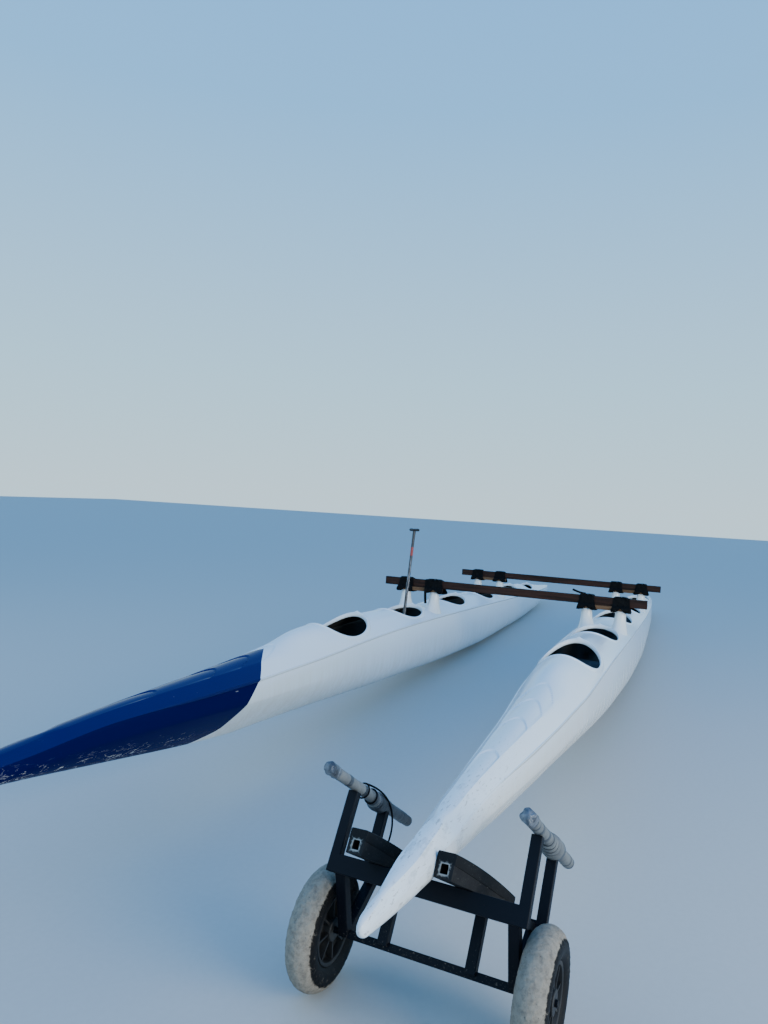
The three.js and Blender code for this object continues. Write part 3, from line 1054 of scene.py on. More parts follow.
@dataclass(frozen=True)
class HullForm:
    """The lines of one hull, shared by both."""

    stations: tuple[tuple[float, ...], ...] = (
        # x, keel, seam, its half width, the roof's half width and edge, crown, greatest half width, fullness
        (-7.62, 0.322, 0.444, 0.014, 0.010, 0.458, 0.466, 0.014, 2.20),
        (-7.30, 0.262, 0.448, 0.051, 0.038, 0.468, 0.484, 0.052, 2.20),
        (-6.70, 0.190, 0.455, 0.100, 0.076, 0.482, 0.510, 0.104, 2.20),
        (-6.00, 0.122, 0.464, 0.148, 0.118, 0.496, 0.552, 0.156, 2.20),
        (-5.26, 0.074, 0.475, 0.186, 0.152, 0.508, 0.594, 0.198, 2.25),
        (-4.60, 0.042, 0.483, 0.215, 0.180, 0.516, 0.612, 0.230, 2.30),
        (-3.88, 0.022, 0.490, 0.234, 0.198, 0.522, 0.624, 0.253, 2.50),
        (-3.40, 0.012, 0.494, 0.245, 0.206, 0.524, 0.610, 0.267, 2.60),
        (-2.94, 0.005, 0.498, 0.254, 0.214, 0.527, 0.588, 0.279, 2.80),
        (-2.32, -0.004, 0.505, 0.264, 0.220, 0.530, 0.630, 0.292, 3.20),
        (-1.60, -0.013, 0.511, 0.271, 0.224, 0.532, 0.630, 0.303, 3.50),
        (-0.94, -0.014, 0.514, 0.273, 0.226, 0.533, 0.632, 0.305, 3.50),
        (-0.42, -0.013, 0.515, 0.273, 0.226, 0.533, 0.612, 0.304, 3.50),
        (0.00, -0.011, 0.514, 0.272, 0.226, 0.531, 0.588, 0.302, 3.40),
        (0.62, -0.004, 0.508, 0.266, 0.224, 0.525, 0.628, 0.293, 3.10),
        (1.30, 0.000, 0.494, 0.255, 0.222, 0.518, 0.628, 0.279, 2.75),
        (2.045, 0.000, 0.461, 0.236, 0.212, 0.507, 0.622, 0.254, 2.10),
        (2.50, 0.000, 0.433, 0.222, 0.186, 0.505, 0.617, 0.236, 1.65),
        (2.70, 0.001, 0.421, 0.214, 0.160, 0.500, 0.606, 0.227, 1.50),
        (3.10, 0.006, 0.398, 0.186, 0.122, 0.480, 0.532, 0.198, 1.30),
        (3.50, 0.014, 0.377, 0.157, 0.098, 0.461, 0.492, 0.169, 1.15),
        (3.90, 0.045, 0.368, 0.131, 0.076, 0.444, 0.462, 0.143, 1.10),
        (4.70, 0.136, 0.357, 0.083, 0.038, 0.410, 0.416, 0.094, 1.20),
        (5.30, 0.208, 0.312, 0.055, 0.030, 0.361, 0.366, 0.058, 1.60),
        (5.62, 0.240, 0.297, 0.032, 0.019, 0.331, 0.335, 0.033, 2.00),
        (5.80, 0.261, 0.291, 0.016, 0.010, 0.312, 0.316, 0.016, 2.20),
    )
    level: float = 0.38
    soft_from: float = 3.3
    soft_to: float = 2.6
    arcs: tuple[float, ...] = (3.07, 3.40, 3.77, 4.33)
    arc_bend: float = 28.0
    arc_step: float = 0.007
    arc_soft: Pair = (-0.004, 0.012)
    arc_fade: float = 0.17
    dents: tuple[Point, ...] = (
        # x, reach, share of the roof's half width
        (3.95, 0.10, -0.05),
        (4.55, 0.10, 0.06),
        (4.86, 0.09, -0.06),
        (5.09, 0.07, -0.42),
        (5.42, 0.09, 0.18),
        (5.64, 0.07, -0.35),
    )
    round_end: float = 0.035
    hang: Droop = Droop()

    def read(self, xs: Array) -> dict[str, Array]:
        """Reads the table's columns at some places along the hull, by name.

        Args:
            xs: places along the hull.

        Returns:
            The values there, by the column's name.
        """
        table = np.array(self.stations)
        names = ("keel", "seam", "half", "top", "edge", "crown", "wide", "full")
        lines = {n: smooth_table(table[:, 0], table[:, i + 1], xs) for i, n in enumerate(names)}
        share = (np.maximum(xs - self.hang.start, 0.0) / self.hang.reach) ** self.hang.power
        for name in ("keel", "seam", "edge", "crown"):
            lines[name] = lines[name] - self.hang.depth * share
        for place, reach, share in self.dents:
            lines["top"] = lines["top"] * (1 + share * np.exp(-(((xs - place) / reach) ** 2)))
        return lines

    def ends(self) -> Pair:
        """The hull's stern and bow."""
        return self.stations[0][0], self.stations[-1][0]

    def rounding(self, xs: Array) -> Array:
        """How much each section keeps of its size, so that both ends are blunt and round.

        Args:
            xs: places along the hull.

        Returns:
            The share there, 1 away from the ends.
        """
        stern, bow = self.ends()
        near = np.minimum(bow - xs, xs - stern) / self.round_end
        t = 1 - np.clip(near, 0.0, 1.0)
        return np.sqrt(np.maximum(1 - t * t, 0.0004))

    def deck_height(self, x: Array, y: Array) -> Array:
        """The deck's height over a point seen from above.

        Args:
            x: the point's place along the hull.
            y: its place across.

        Returns:
            The height over the keel line.
        """
        s = self.read(np.asarray(x, float))
        across = np.abs(y)
        roof = s["crown"] - (s["crown"] - s["edge"]) * np.minimum(across / s["top"], 1.0) ** 2
        beyond = np.clip((across - s["top"]) / np.maximum(s["half"] - s["top"], 1e-4), 0.0, 1.0)
        return roof - (s["edge"] - s["seam"]) * beyond - self.steps(x, y, s["top"])

    def steps(self, x: Array, y: Array, top: Array) -> Array:
        """How deep the nested steps of the foredeck are cut at a point.

        Args:
            x: the point's place along the hull.
            y: its place across.
            top: the roof's half width there.

        Returns:
            The depth.
        """
        total = np.zeros(np.broadcast(x, y).shape)
        for apex in self.arcs:
            ahead = x - (apex + self.arc_bend * np.asarray(y) ** 2)
            cut = smooth_step(ahead, *self.arc_soft) * np.exp(-np.maximum(ahead, 0.0) / self.arc_fade)
            total = total + self.arc_step * cut
        return total * smooth_step(np.abs(y) / top, 1.0, 0.8)


@dataclass
class Hull:
    """One hull with its cockpits, seats and beam posts."""

    side: Side
    place: Placement
    form: HullForm
    cockpits: tuple[Cockpit, ...] = (
        Cockpit(2.045, 0.385, 0.212),
        Cockpit(0.62),
        Cockpit(-0.94),
        Cockpit(-2.32),
        Cockpit(-3.88, 0.372, 0.190),
        Cockpit(-5.26, 0.365, 0.148),
    )
    wall: float = 0.008
    flange: float = 0.015
    proud: float = 0.006
    ledge_bow: Pair = (4.8, 3.9)
    ledge_stern: Pair = (-7.5, -6.6)
    side_bulge: float = 0.02
    shoulder_passes: int = 10
    deck_row: float = 0.02
    arc_row: float = 0.009
    arc_rows: Pair = (2.95, 4.75)
    shell_row: float = 0.04
    roof_columns: int = 14
    side_columns: int = 7
    shell_columns: int = 18
    rim_width: Pair = (0.017, 0.018)
    rim_rise: Point = (0.008, 0.016, 0.013)
    rim_outline: tuple[tuple[float, float, float, float], ...] = (
        # share of the width, further out, share of the rise, further up
        (1.00, 0.0, 0.0, -0.003),
        (0.86, 0.0, 0.50, 0.0),
        (0.68, 0.0, 0.88, 0.0),
        (0.34, 0.0, 1.00, 0.0),
        (0.08, 0.0, 0.96, 0.0),
        (0.0, -0.004, 0.62, 0.0),
        (0.0, -0.006, 0.05, -0.004),
        (0.0, -0.005, 0.0, -0.011),
        (0.0, -0.002, 0.0, -0.014),
        (0.0, 0.002, 0.0, -0.012),
        (0.80, 0.0, 0.0, -0.012),
    )
    post_long: Pair = (0.042, 0.070)
    post_wide: Pair = (0.051, 0.032)
    post_flare: float = 2.3
    post_top: float = 0.752
    seat_half_long: float = 0.13
    seat_share: float = 0.80
    seat_height: float = 0.285
    seat_thick: float = 0.03

    def rows(self, fine: float, coarse: float) -> Array:
        """Places of the rings: close together at the steps and at both tips.

        Args:
            fine: the spacing over the steps.
            coarse: the spacing elsewhere.

        Returns:
            The places, in rising order.
        """
        stern, bow = self.form.ends()
        r = self.form.round_end
        tip = r * (1 - np.cos(np.linspace(0, math.pi / 2, 7)))
        xs = [stern + tip, bow - tip, np.arange(stern + r, bow - r, coarse)]
        if fine < coarse:
            xs.append(np.arange(*self.arc_rows, fine))
        return np.unique(np.round(np.concatenate(xs), 4))

    def half_section(self, xs: Array) -> Array:
        """The deck's half section at some places, from the seam up to the crown.

        Args:
            xs: places along the hull.

        Returns:
            R by N by 2 coordinates, y and z.
        """
        s = self.form.read(xs)
        half, top, edge, seam, crown = (s[k][:, None] for k in ("half", "top", "edge", "seam", "crown"))
        t = np.linspace(0, 1, self.side_columns)[None, :-1]
        bulge = np.sin(t * math.pi) * self.side_bulge * (half - top)
        side_y = half + (top - half) * t + bulge
        side_z = seam + 0.001 + (edge - seam - 0.001) * t + bulge
        roof = np.linspace(0, 1, self.roof_columns)[None, :]
        roof_y = top * (1 - roof)
        roof_z = crown - (crown - edge) * (1 - roof) ** 2
        y = np.concatenate([side_y, roof_y], axis=1)
        z = np.concatenate([side_z, roof_z], axis=1)
        raw = np.stack([y, z], axis=2)
        soft = self.eased(raw.copy())
        share = smooth_step(xs, self.form.soft_from, self.form.soft_to)[:, None, None]
        eased = raw * (1 - share) + soft * share
        eased[:, :, 1] -= self.form.steps(xs[:, None], eased[:, :, 0], s["top"][:, None])
        ledge = (smooth_step(xs, *self.ledge_bow) * smooth_step(xs, *self.ledge_stern))[:, None]
        foot_y = np.repeat(half + self.proud * ledge, 2, axis=1)
        foot_z = np.concatenate([seam - self.flange * ledge - 0.0004, seam], axis=1)
        foot = np.stack([foot_y, foot_z], axis=2)
        return np.concatenate([foot, eased], axis=1)

    def eased(self, section: Array) -> Array:
        """Rounds a section's shoulder by averaging the points next to it.

        Args:
            section: half sections, which are changed.

        Returns:
            The same sections.
        """
        middle = self.side_columns - 1
        span = slice(middle - 4, middle + 5)
        before = slice(middle - 5, middle + 4)
        after = slice(middle - 3, middle + 6)
        for _ in range(self.shoulder_passes):
            section[:, span] = 0.5 * section[:, span] + 0.25 * (section[:, before] + section[:, after])
        return section

    def rounded(self, xs: Array, section: Array) -> Array:
        """Draws the sections at both tips in towards their middle.

        Args:
            xs: places of the sections.
            section: the sections, which are changed.

        Returns:
            The same sections.
        """
        s = self.form.read(xs)
        keep = self.form.rounding(xs)[:, None]
        middle = ((s["keel"] + s["crown"]) / 2)[:, None]
        section[:, :, 0] *= keep
        section[:, :, 1] = middle + (section[:, :, 1] - middle) * keep
        return section

    def skin(self, xs: Array, half: Array) -> tuple[Array, Array]:
        """A skin's points and quads, from its half sections.

        Args:
            xs: places of the sections.
            half: R by N by 2 coordinates, y and z, from one side to the centre plane.

        Returns:
            The points and the faces, with the other side and both rounded tips.
        """
        other = half[:, -2::-1] * (-1.0, 1.0)
        section = self.rounded(xs, np.concatenate([half, other], axis=1))
        x = np.repeat(xs[:, None], section.shape[1], axis=1)
        return np.dstack([x, section]).reshape(-1, 3), grid_faces(len(xs), section.shape[1])

    def laminate(self, stem: str, points: Array, faces: Array, sharp: float, finishes: Finishes) -> None:
        """Makes a skin into a wall, its inner face in the lining, that stands for the stem's nodes.

        Args:
            stem: deck or shell.
            points: the skin's points.
            faces: its quads.
            sharp: the angle in degrees over which an edge stays crisp.
            finishes: every material.
        """
        label = self.side.label
        if self.side is Side.PORT:
            paint = finishes.port
        else:
            # The starboard shell takes a copy of the paint whose blue is darker: painted shade on the lower
            # sides.
            paint = finishes.navy if stem == "shell" else finishes.starboard
        form = Form().add(points, faces)
        made = form.piece(f"{label}_{stem}", self.place.hull(self.side), (paint, finishes.lining), sharp)
        if stem == "shell":
            self.flip_if_inward(made)
        wall = made.modifiers.new("laminate", "SOLIDIFY")
        wall.thickness = self.wall
        wall.offset = -1.0
        wall.material_offset = 1
        wall.use_even_offset = False
        nodes = sorted(n for n in self.place.nodes if n.startswith(f"{label}_hull_{stem}"))
        dress(made, nodes)

    def deck(self, finishes: Finishes) -> None:
        """Builds the deck as one skin with its cockpits cut out.

        Args:
            finishes: every material.
        """
        xs = self.rows(self.arc_row, self.deck_row)
        points, faces = self.skin(xs, self.half_section(xs))
        for cockpit in self.cockpits:
            points, faces = self.cut(points, faces, cockpit)
        self.laminate("deck", points, faces, 28.0, finishes)

    def cut(self, points: Array, faces: Array, cockpit: Cockpit) -> tuple[Array, Array]:
        """Cuts one opening and draws the skin's edge to its outline.

        Args:
            points: the skin's points.
            faces: its quads.
            cockpit: the opening.

        Returns:
            The points and the faces that are left.
        """
        roof = points[:, 2] > self.form.read(points[:, 0])["seam"]
        depth = np.where(roof, cockpit.inside(points[:, 0], points[:, 1]), 9.0)
        kept = faces[(depth[faces] >= 1.0).any(axis=1)]
        lip = np.zeros(len(points), bool)
        lip[kept.ravel()] = True
        lip &= depth < 1.0
        away = np.maximum(depth[lip], 1e-6) ** (1 / cockpit.power)
        points = points.copy()
        points[lip, 0] = cockpit.x + (points[lip, 0] - cockpit.x) / away
        points[lip, 1] /= away
        points[lip, 2] = self.form.deck_height(points[lip, 0], points[lip, 1])
        return points, kept

    def shell(self, finishes: Finishes) -> None:
        """Builds the lower shell up to the seam.

        Args:
            finishes: every material.
        """
        xs = self.rows(self.shell_row, self.shell_row)
        s = self.form.read(xs)
        keel, seam, half, wide, full = (s[k][:, None] for k in ("keel", "seam", "half", "wide", "full"))
        level = seam - (seam - keel) * self.form.level
        t = np.linspace(0, 1, 7)[None, :-1]
        turn = np.linspace(0, math.pi / 2, self.shell_columns + 1)[None, :]
        upper_y = half + (wide - half) * np.sin(t * math.pi / 2)
        upper_z = seam + (level - seam) * t
        lower_y = wide * np.cos(turn) ** (2 / full)
        lower_z = level - np.sin(turn) ** (2 / full) * (level - keel)
        y = np.concatenate([upper_y, lower_y], axis=1)
        z = np.concatenate([upper_z, lower_z], axis=1)
        points, faces = self.skin(xs, np.stack([y, z], axis=2))
        self.laminate("shell", points, faces, 40.0, finishes)

    def flip_if_inward(self, made: Object) -> None:
        """Turns an open skin's faces so that they look away from the hull's middle.

        Args:
            made: the skin.
        """
        axis = self.place.hull(self.side) @ Vector((0.0, 0.0, 0.40))
        face = max(made.data.polygons, key=lambda p: abs(p.center.y - axis.y))
        if face.normal.y * (face.center.y - axis.y) < 0:
            made.data.flip_normals()

    def rims(self, paint: Material) -> None:
        """Builds the rolled edges round the cockpits: low ahead, a raised arch with a nub aft.

        Args:
            paint: the hull's gelcoat.
        """
        form = Form()
        turn = around(112)
        aft = smooth_step(-np.cos(turn), -0.25, 0.85)
        nub = np.exp(-(((turn - math.pi) / 0.055) ** 2))
        width = self.rim_width[0] + self.rim_width[1] * aft
        rise = self.rim_rise[0] + self.rim_rise[1] * aft + self.rim_rise[2] * nub
        for cockpit in self.cockpits:
            rings = []
            for across, beyond, above, further in self.rim_outline:
                out = width * across + beyond
                x, y = cockpit.edge(turn, out)
                foot = self.form.deck_height(*cockpit.edge(turn, np.maximum(out, 0.0)))
                rings.append(np.stack([x, y, foot + rise * above + further], axis=1))
            form.add(rings, grid_faces(len(rings), len(turn), True, True))
        made = form.piece(f"{self.side.label}_coamings", self.place.hull(self.side), (paint,), 50.0)
        dress(made)

    def posts(self, paint: Material) -> None:
        """Builds the moulded beam posts, flared into the deck.

        Args:
            paint: the posts' gelcoat.
        """
        c, s = circle(1.0, 36).T
        for beam, beam_x in BEAMS:
            for hand, off in POSTS:
                rings = []
                for level in np.linspace(-0.06, 1.0, 22):
                    flare = max(1 - max(level, 0.0), 0.0) ** self.post_flare
                    long = self.post_long[0] + self.post_long[1] * flare
                    x = beam_x + c * long * (1 + 0.25 * flare * (c > 0))
                    y = off + s * (self.post_wide[0] + self.post_wide[1] * flare)
                    base = self.form.deck_height(x, y)
                    rings.append(np.stack([x, y, base + (self.post_top - base) * level], axis=1))
                stem = f"{self.side.label}_{beam}_{hand}_post"
                form = Form().loft(rings)
                made = form.piece(f"{stem}_moulding", self.place.hull(self.side), (paint,), 50.0)
                dress(made, [stem], bevel=0.006)

    def seats(self, plastic: Material) -> None:
        """Builds the bucket seats deep in the wells.

        Args:
            plastic: the seats' plastic.
        """
        hull, long = self.place.hull(self.side), self.seat_half_long
        across = np.linspace(-1, 1, 17)
        for number in range(1, len(self.cockpits) + 1):
            node = f"{self.side.label}_seat_{number}"
            low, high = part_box(node)
            middle = hull.inverted() @ ((low + high) / 2)
            half = self.form.read(np.array([middle.x]))["half"][0] * self.seat_share
            rings = []
            for a in np.linspace(-long, long, 12):
                dish = 0.030 * np.cos(across * math.pi / 2) ** 0.8 * math.cos(a / long * 1.2)
                height = self.seat_height - dish + 0.02 * smooth_step(-a, 0.06, long)
                upper = np.stack([np.full(len(across), middle.x + a), across * half, height], axis=1)
                rings.append(np.concatenate([upper, upper[::-1] - (0.0, 0.0, self.seat_thick)]))
            dress(Form().loft(rings).piece(f"{node}_pan", hull, (plastic,), 45.0), [node])

    def build(self, finishes: Finishes) -> None:
        """Builds the whole hull.

        Args:
            finishes: every material.
        """
        self.shell(finishes)
        self.deck(finishes)
        self.rims(finishes.starboard if self.side is Side.STARBOARD else finishes.port)
        self.posts(finishes.post)
        self.seats(finishes.seat)


# Beams and lashings


@dataclass
class CrossBeams:
    """The two timber beams, their boards and the rubber lashings."""

    place: Placement
    half_long: float = 1.362
    half_wide: float = 0.028
    base: float = 0.793
    high: float = 0.083
    board_half: Pair = (0.060, 0.235)
    board: Pair = (0.7524, 0.7927)
    strip_wide: float = 0.032
    strip_thick: float = 0.0045
    layer_rise: float = 0.0044
    step_rise: float = 0.0012
    top_rise: float = 0.014
    bend: float = 0.012
    lean_power: float = 1.8
    foot_reach: float = 0.070
    top_reaches: tuple[tuple[float, ...], ...] = (
        (-0.034, 0.020, 0.058),
        (-0.050, 0.000, 0.044),
        (-0.028, -0.044, 0.034),
    )
    broad_lead: float = 1.35
    tail: tuple[Point, ...] = (
        (0.010, -0.015, 0.0),
        (0.030, 0.015, 0.004),
        (0.045, 0.045, -0.004),
        (0.050, 0.060, -0.020),
    )
    loose_end: tuple[Point, ...] = (
        (0.030, -0.015, 0.002),
        (0.036, -0.055, 0.007),
        (0.040, -0.100, 0.018),
        (0.040, -0.145, 0.034),
    )
    hanging_end: tuple[Point, ...] = (
        (0.074, -0.075, -0.090),
        (0.082, -0.078, -0.130),
        (0.086, -0.074, -0.190),
        (0.088, -0.066, -0.260),
    )

    def timber(self, wood: Material, board: Material) -> None:
        """Builds the beams and the boards under them.

        Args:
            wood: the beams' timber.
            board: the boards' timber.
        """
        corners = [(-1, 0), (1, 0), (1, 1), (-1, 1)]
        for name, x in BEAMS:
            rings = []
            for y in np.linspace(-self.half_long, self.half_long, 90):
                ring = []
                for i, (across, above) in enumerate(corners):
                    drift = noise.noise(Vector((y * 1.7, i * 7.3, x))) * 0.0012
                    height = self.base + above * (self.high + drift)
                    ring.append((x + across * self.half_wide + drift, y, height))
                rings.append(ring)
            made = Form().loft(rings).piece(f"{name}_beam_timber", self.place.matrix(), (wood,), 30.0)
            dress(made, [f"{name}_beam"], bevel=0.004)
            for side in Side:
                self.packer(side, name, x, board)

    def packer(self, side: Side, name: str, x: float, board: Material) -> None:
        """Builds one board between the posts and a beam.

        Args:
            side: the hull.
            name: the beam's name.
            x: the beam's middle.
            board: the timber.
        """
        long, wide = self.board_half
        form = Form().block((x - long, -wide, self.board[0]), (x + long, wide, self.board[1]))
        made = form.piece(f"{side.label}_{name}_board", self.place.hull(side), (board,), 30.0)
        dress(made, [f"{side.label}_{name}_packer"], bevel=0.003)

    def turn(self, x: float, top_y: float, foot_y: float, layer: float, low: float) -> Array:
        """One turn of strip round the beam and the board, leaning from its top to its foot.

        Args:
            x: the beam's middle.
            top_y: the turn's place along the beam, on top.
            foot_y: its place under the board.
            layer: how far out it lies over the turns below.
            low: how far under the board it reaches.

        Returns:
            The loop's points.
        """
        t = self.strip_thick / 2 + layer
        top = self.base + self.high + t
        long = self.board_half[0] + t
        wide = self.half_wide + t
        foot = self.board[0] - low
        right = [
            (wide, top),
            (wide + 0.004, self.base + self.bend),
            (long, self.base - self.bend),
            (long, foot + self.bend),
            (long - 0.014, foot),
        ]
        ring = np.array(mirrored(right))
        share = np.linspace(0, 1, 5)[:-1, None]
        loop = np.concatenate([a + (b - a) * share for a, b in zip(ring, np.roll(ring, -1, 0))])
        left = 1 - np.clip((loop[:, 1] - foot) / (top - foot), 0.0, 1.0)
        y = foot_y + (top_y - foot_y) * (1 - left**self.lean_power)
        eased = 0.5 * loop + 0.25 * (np.roll(loop, 1, 0) + np.roll(loop, -1, 0))
        return np.stack([x + eased[:, 0], y, eased[:, 1]], axis=1)

    def band(self, form: Form, loop: Array, width: float) -> None:
        """Adds a strip that lies flat along a loop, its width along the beam.

        Args:
            form: what the strip is added to.
            loop: N by 3 points of the loop.
            width: the strip's width.
        """
        ahead = np.roll(loop, -1, 0) - np.roll(loop, 1, 0)
        ahead /= np.linalg.norm(ahead, axis=1, keepdims=True)
        across = np.array((0.0, 1.0, 0.0)) - ahead * ahead[:, 1:2]
        across /= np.linalg.norm(across, axis=1, keepdims=True)
        form.tube(loop, strip_profile(width, self.strip_thick), across, np.cross(ahead, across), True)

    def lashing(self, side: Side, name: str, x: float, hand: str, off: float, rubber: Material) -> None:
        """Winds one lashing: turns that meet on top and part round the post below.

        Args:
            side: the hull.
            name: the beam's name.
            x: the beam's middle.
            hand: the post's name.
            off: the post's place across the hull.
            rubber: the strip's rubber.
        """
        rng = np.random.default_rng(int(abs(x) * 10) * 8 + (side is Side.PORT) * 4 + (hand == "left") * 2 + 3)
        form = Form()
        hanging = (side, name, hand) == (Side.STARBOARD, "fore", "left")
        lead = self.broad_lead if hanging else 1.0
        for layer, reaches in enumerate(self.top_reaches):
            for way in (-1, 1):
                for step, reach in enumerate(reaches):
                    part = self.foot_reach + 0.005 * step + rng.uniform(-0.002, 0.003)
                    foot = off + way * part * (lead if way > 0 else 1.0)
                    top = off + way * (reach + rng.uniform(-0.008, 0.008)) * lead
                    low = 0.007 + rng.uniform(-0.004, 0.008)
                    loop = self.turn(x, top, foot, self.layer_rise * layer + self.step_rise * step, low)
                    self.band(form, loop, self.strip_wide + rng.uniform(-0.004, 0.004))
        at = (x, off, self.base + self.high + self.top_rise)
        self.loose(form, self.tail, at, 0.020, UPWARD)
        if (side, name, hand) == (Side.PORT, "fore", "right"):
            self.loose(form, self.loose_end, at, 0.020, FORWARD)
        if hanging:
            self.loose(form, self.hanging_end, at, 0.028, FORWARD)
        stem = f"{side.label}_{name}_{hand}"
        made = form.piece(f"{stem}_lashing_strip", self.place.hull(side), (rubber,), 40.0)
        dress(made, [f"{stem}_lashing"])

    def loose(self, form: Form, points: Sequence[Point], at: Point, width: float, up: Point) -> None:
        """Adds a loose length of strip, its points given from the lashing's top.

        Args:
            form: what the strip is added to.
            points: a few points of its route.
            at: the lashing's top.
            width: the strip's width.
            up: the direction that its flat side keeps to.
        """
        given = np.array(points) + at
        t, fine = np.linspace(0, 1, len(given)), np.linspace(0, 1, 14)
        path = np.stack([smooth_table(t, column, fine) for column in given.T], axis=1)
        form.sweep(path, strip_profile(width, self.strip_thick), up)

    def build(self, finishes: Finishes) -> None:
        """Builds beams, boards and lashings.

        Args:
            finishes: every material.
        """
        self.timber(finishes.beam, finishes.board)
        for side in Side:
            for name, x in BEAMS:
                for hand, off in POSTS:
                    self.lashing(side, name, x, hand, off, finishes.strip)


@dataclass
class Paddle:
    """The paddle that stands in the starboard hull's second cockpit."""

    place: Placement
    foot: Point = (0.709, -0.896, 0.060)
    head: Point = (0.430, -0.920, 1.390)
    shaft: float = 0.015
    blade_long: float = 0.50
    blade_half: float = 0.12
    blade_round: float = 0.36
    grip_half: float = 0.054
    grip_radius: float = 0.0145
    grip_rise: float = 0.014

    def matrix(self) -> Matrix:
        """The paddle's own frame: z along the shaft, from the blade's tip.

        Returns:
            The matrix from that frame to the row frame.
        """
        foot, head = Vector(self.foot), Vector(self.head)
        turn = Vector((0, 0, 1)).rotation_difference((head - foot).normalized())
        return self.place.matrix() @ Matrix.Translation(foot) @ turn.to_matrix().to_4x4()

    def build(self, finishes: Finishes) -> None:
        """Builds blade, shaft and grip.

        Args:
            finishes: every material.
        """
        length = (Vector(self.head) - Vector(self.foot)).length
        rings = []
        for z in np.linspace(self.blade_long - 0.02, length, 60):
            swell = 1 + 0.12 * math.exp(-(((z - length) / 0.05) ** 2))
            oval = circle(self.shaft * swell, 20) * (0.92, 1.0)
            rings.append(np.column_stack([oval, np.full(20, z)]))
        self.part("shaft_tube", rings, finishes.shaft, ["paddle_shaft"])
        rings = [self.blade_ring(z) for z in np.linspace(0.002, self.blade_long, 40)]
        self.part("blade_carbon", rings, finishes.blade, ["paddle_blade"])
        rings = []
        for y in np.linspace(-self.grip_half, self.grip_half, 25):
            blunt = math.sqrt(max(1 - (abs(y) / (self.grip_half + 0.002)) ** 6, 0.03))
            waist = 1 - 0.10 * math.cos(y / self.grip_half * math.pi)
            rings.append(hoop(self.grip_radius * blunt * waist, y, length + self.grip_rise))
        self.part("grip_moulding", rings, finishes.blade)

    def part(self, name: str, rings: Sequence, material: Material, nodes: Sequence[str] = ()) -> None:
        """Makes one part of the paddle from its rings."""
        made = Form().loft(rings).piece(f"paddle_{name}", self.matrix(), (material,), 40.0)
        dress(made, nodes)

    def blade_ring(self, z: float) -> Array:
        """The blade's section at a height over its tip: round at the tip, ribbed towards the shaft.

        Args:
            z: the height.

        Returns:
            28 points of the section.
        """
        t = z / self.blade_long
        if t < self.blade_round:
            wide = self.blade_half * math.sin(t / self.blade_round * math.pi / 2) ** 0.6
        else:
            wide = self.blade_half * (1 - 0.875 * float(smooth_step(t, 0.40, 1.0)))
        c, s = circle(1.0, 28).T
        rib = 1 + 0.9 * np.exp(-((c / 0.25) ** 2)) * t
        return np.stack([s * (0.004 + 0.007 * t) * rib, c * max(wide, 0.004), np.full(28, z)], axis=1)


# Beach cart


class Cover(Enum):
    """What a stretch of rail is wrapped in, as its material's place in the piece's list."""

    PALE = 0
    GREY = 1
    SILVER = 2
    DARK = 3


@dataclass(frozen=True)
class Wrap:
    """One stretch of a rail's covering, down to where it ends."""

    aft: float
    radius: float
    cover: Cover
    drop: float = 0.0


@dataclass(frozen=True)
class Rail:
    """One hand rail, with its wraps from fore to aft."""

    hand: str
    y: float
    fore: float
    wraps: tuple[Wrap, ...]
    squared: float = 2.0

    @property
    def aft(self) -> float:
        """The rail's aft end."""
        return self.wraps[-1].aft


RIGHT_RAIL = Rail(
    "right",
    -0.366,
    0.465,
    (
        Wrap(0.392, 0.0245, Cover.SILVER),
        Wrap(0.297, 0.0222, Cover.PALE),
        Wrap(0.267, 0.0226, Cover.GREY),
        Wrap(0.200, 0.0222, Cover.PALE),
        Wrap(0.137, 0.0228, Cover.PALE),
        Wrap(0.097, 0.0232, Cover.GREY),
        Wrap(0.020, 0.0236, Cover.PALE),
        Wrap(0.010, 0.0272, Cover.DARK, 0.001),
        Wrap(-0.002, 0.0300, Cover.GREY, 0.003),
        Wrap(-0.014, 0.0325, Cover.PALE, 0.004),
        Wrap(-0.028, 0.0355, Cover.GREY, 0.006),
        Wrap(-0.062, 0.0385, Cover.DARK, 0.007),
        Wrap(-0.096, 0.0375, Cover.DARK, 0.006),
        Wrap(-0.130, 0.0325, Cover.GREY, 0.003),
        Wrap(-0.165, 0.0290, Cover.DARK, 0.001),
        Wrap(-0.330, 0.0248, Cover.GREY),
        Wrap(-0.385, 0.0256, Cover.GREY),
        Wrap(-0.392, 0.0246, Cover.DARK),
        Wrap(-0.455, 0.0236, Cover.DARK),
    ),
)
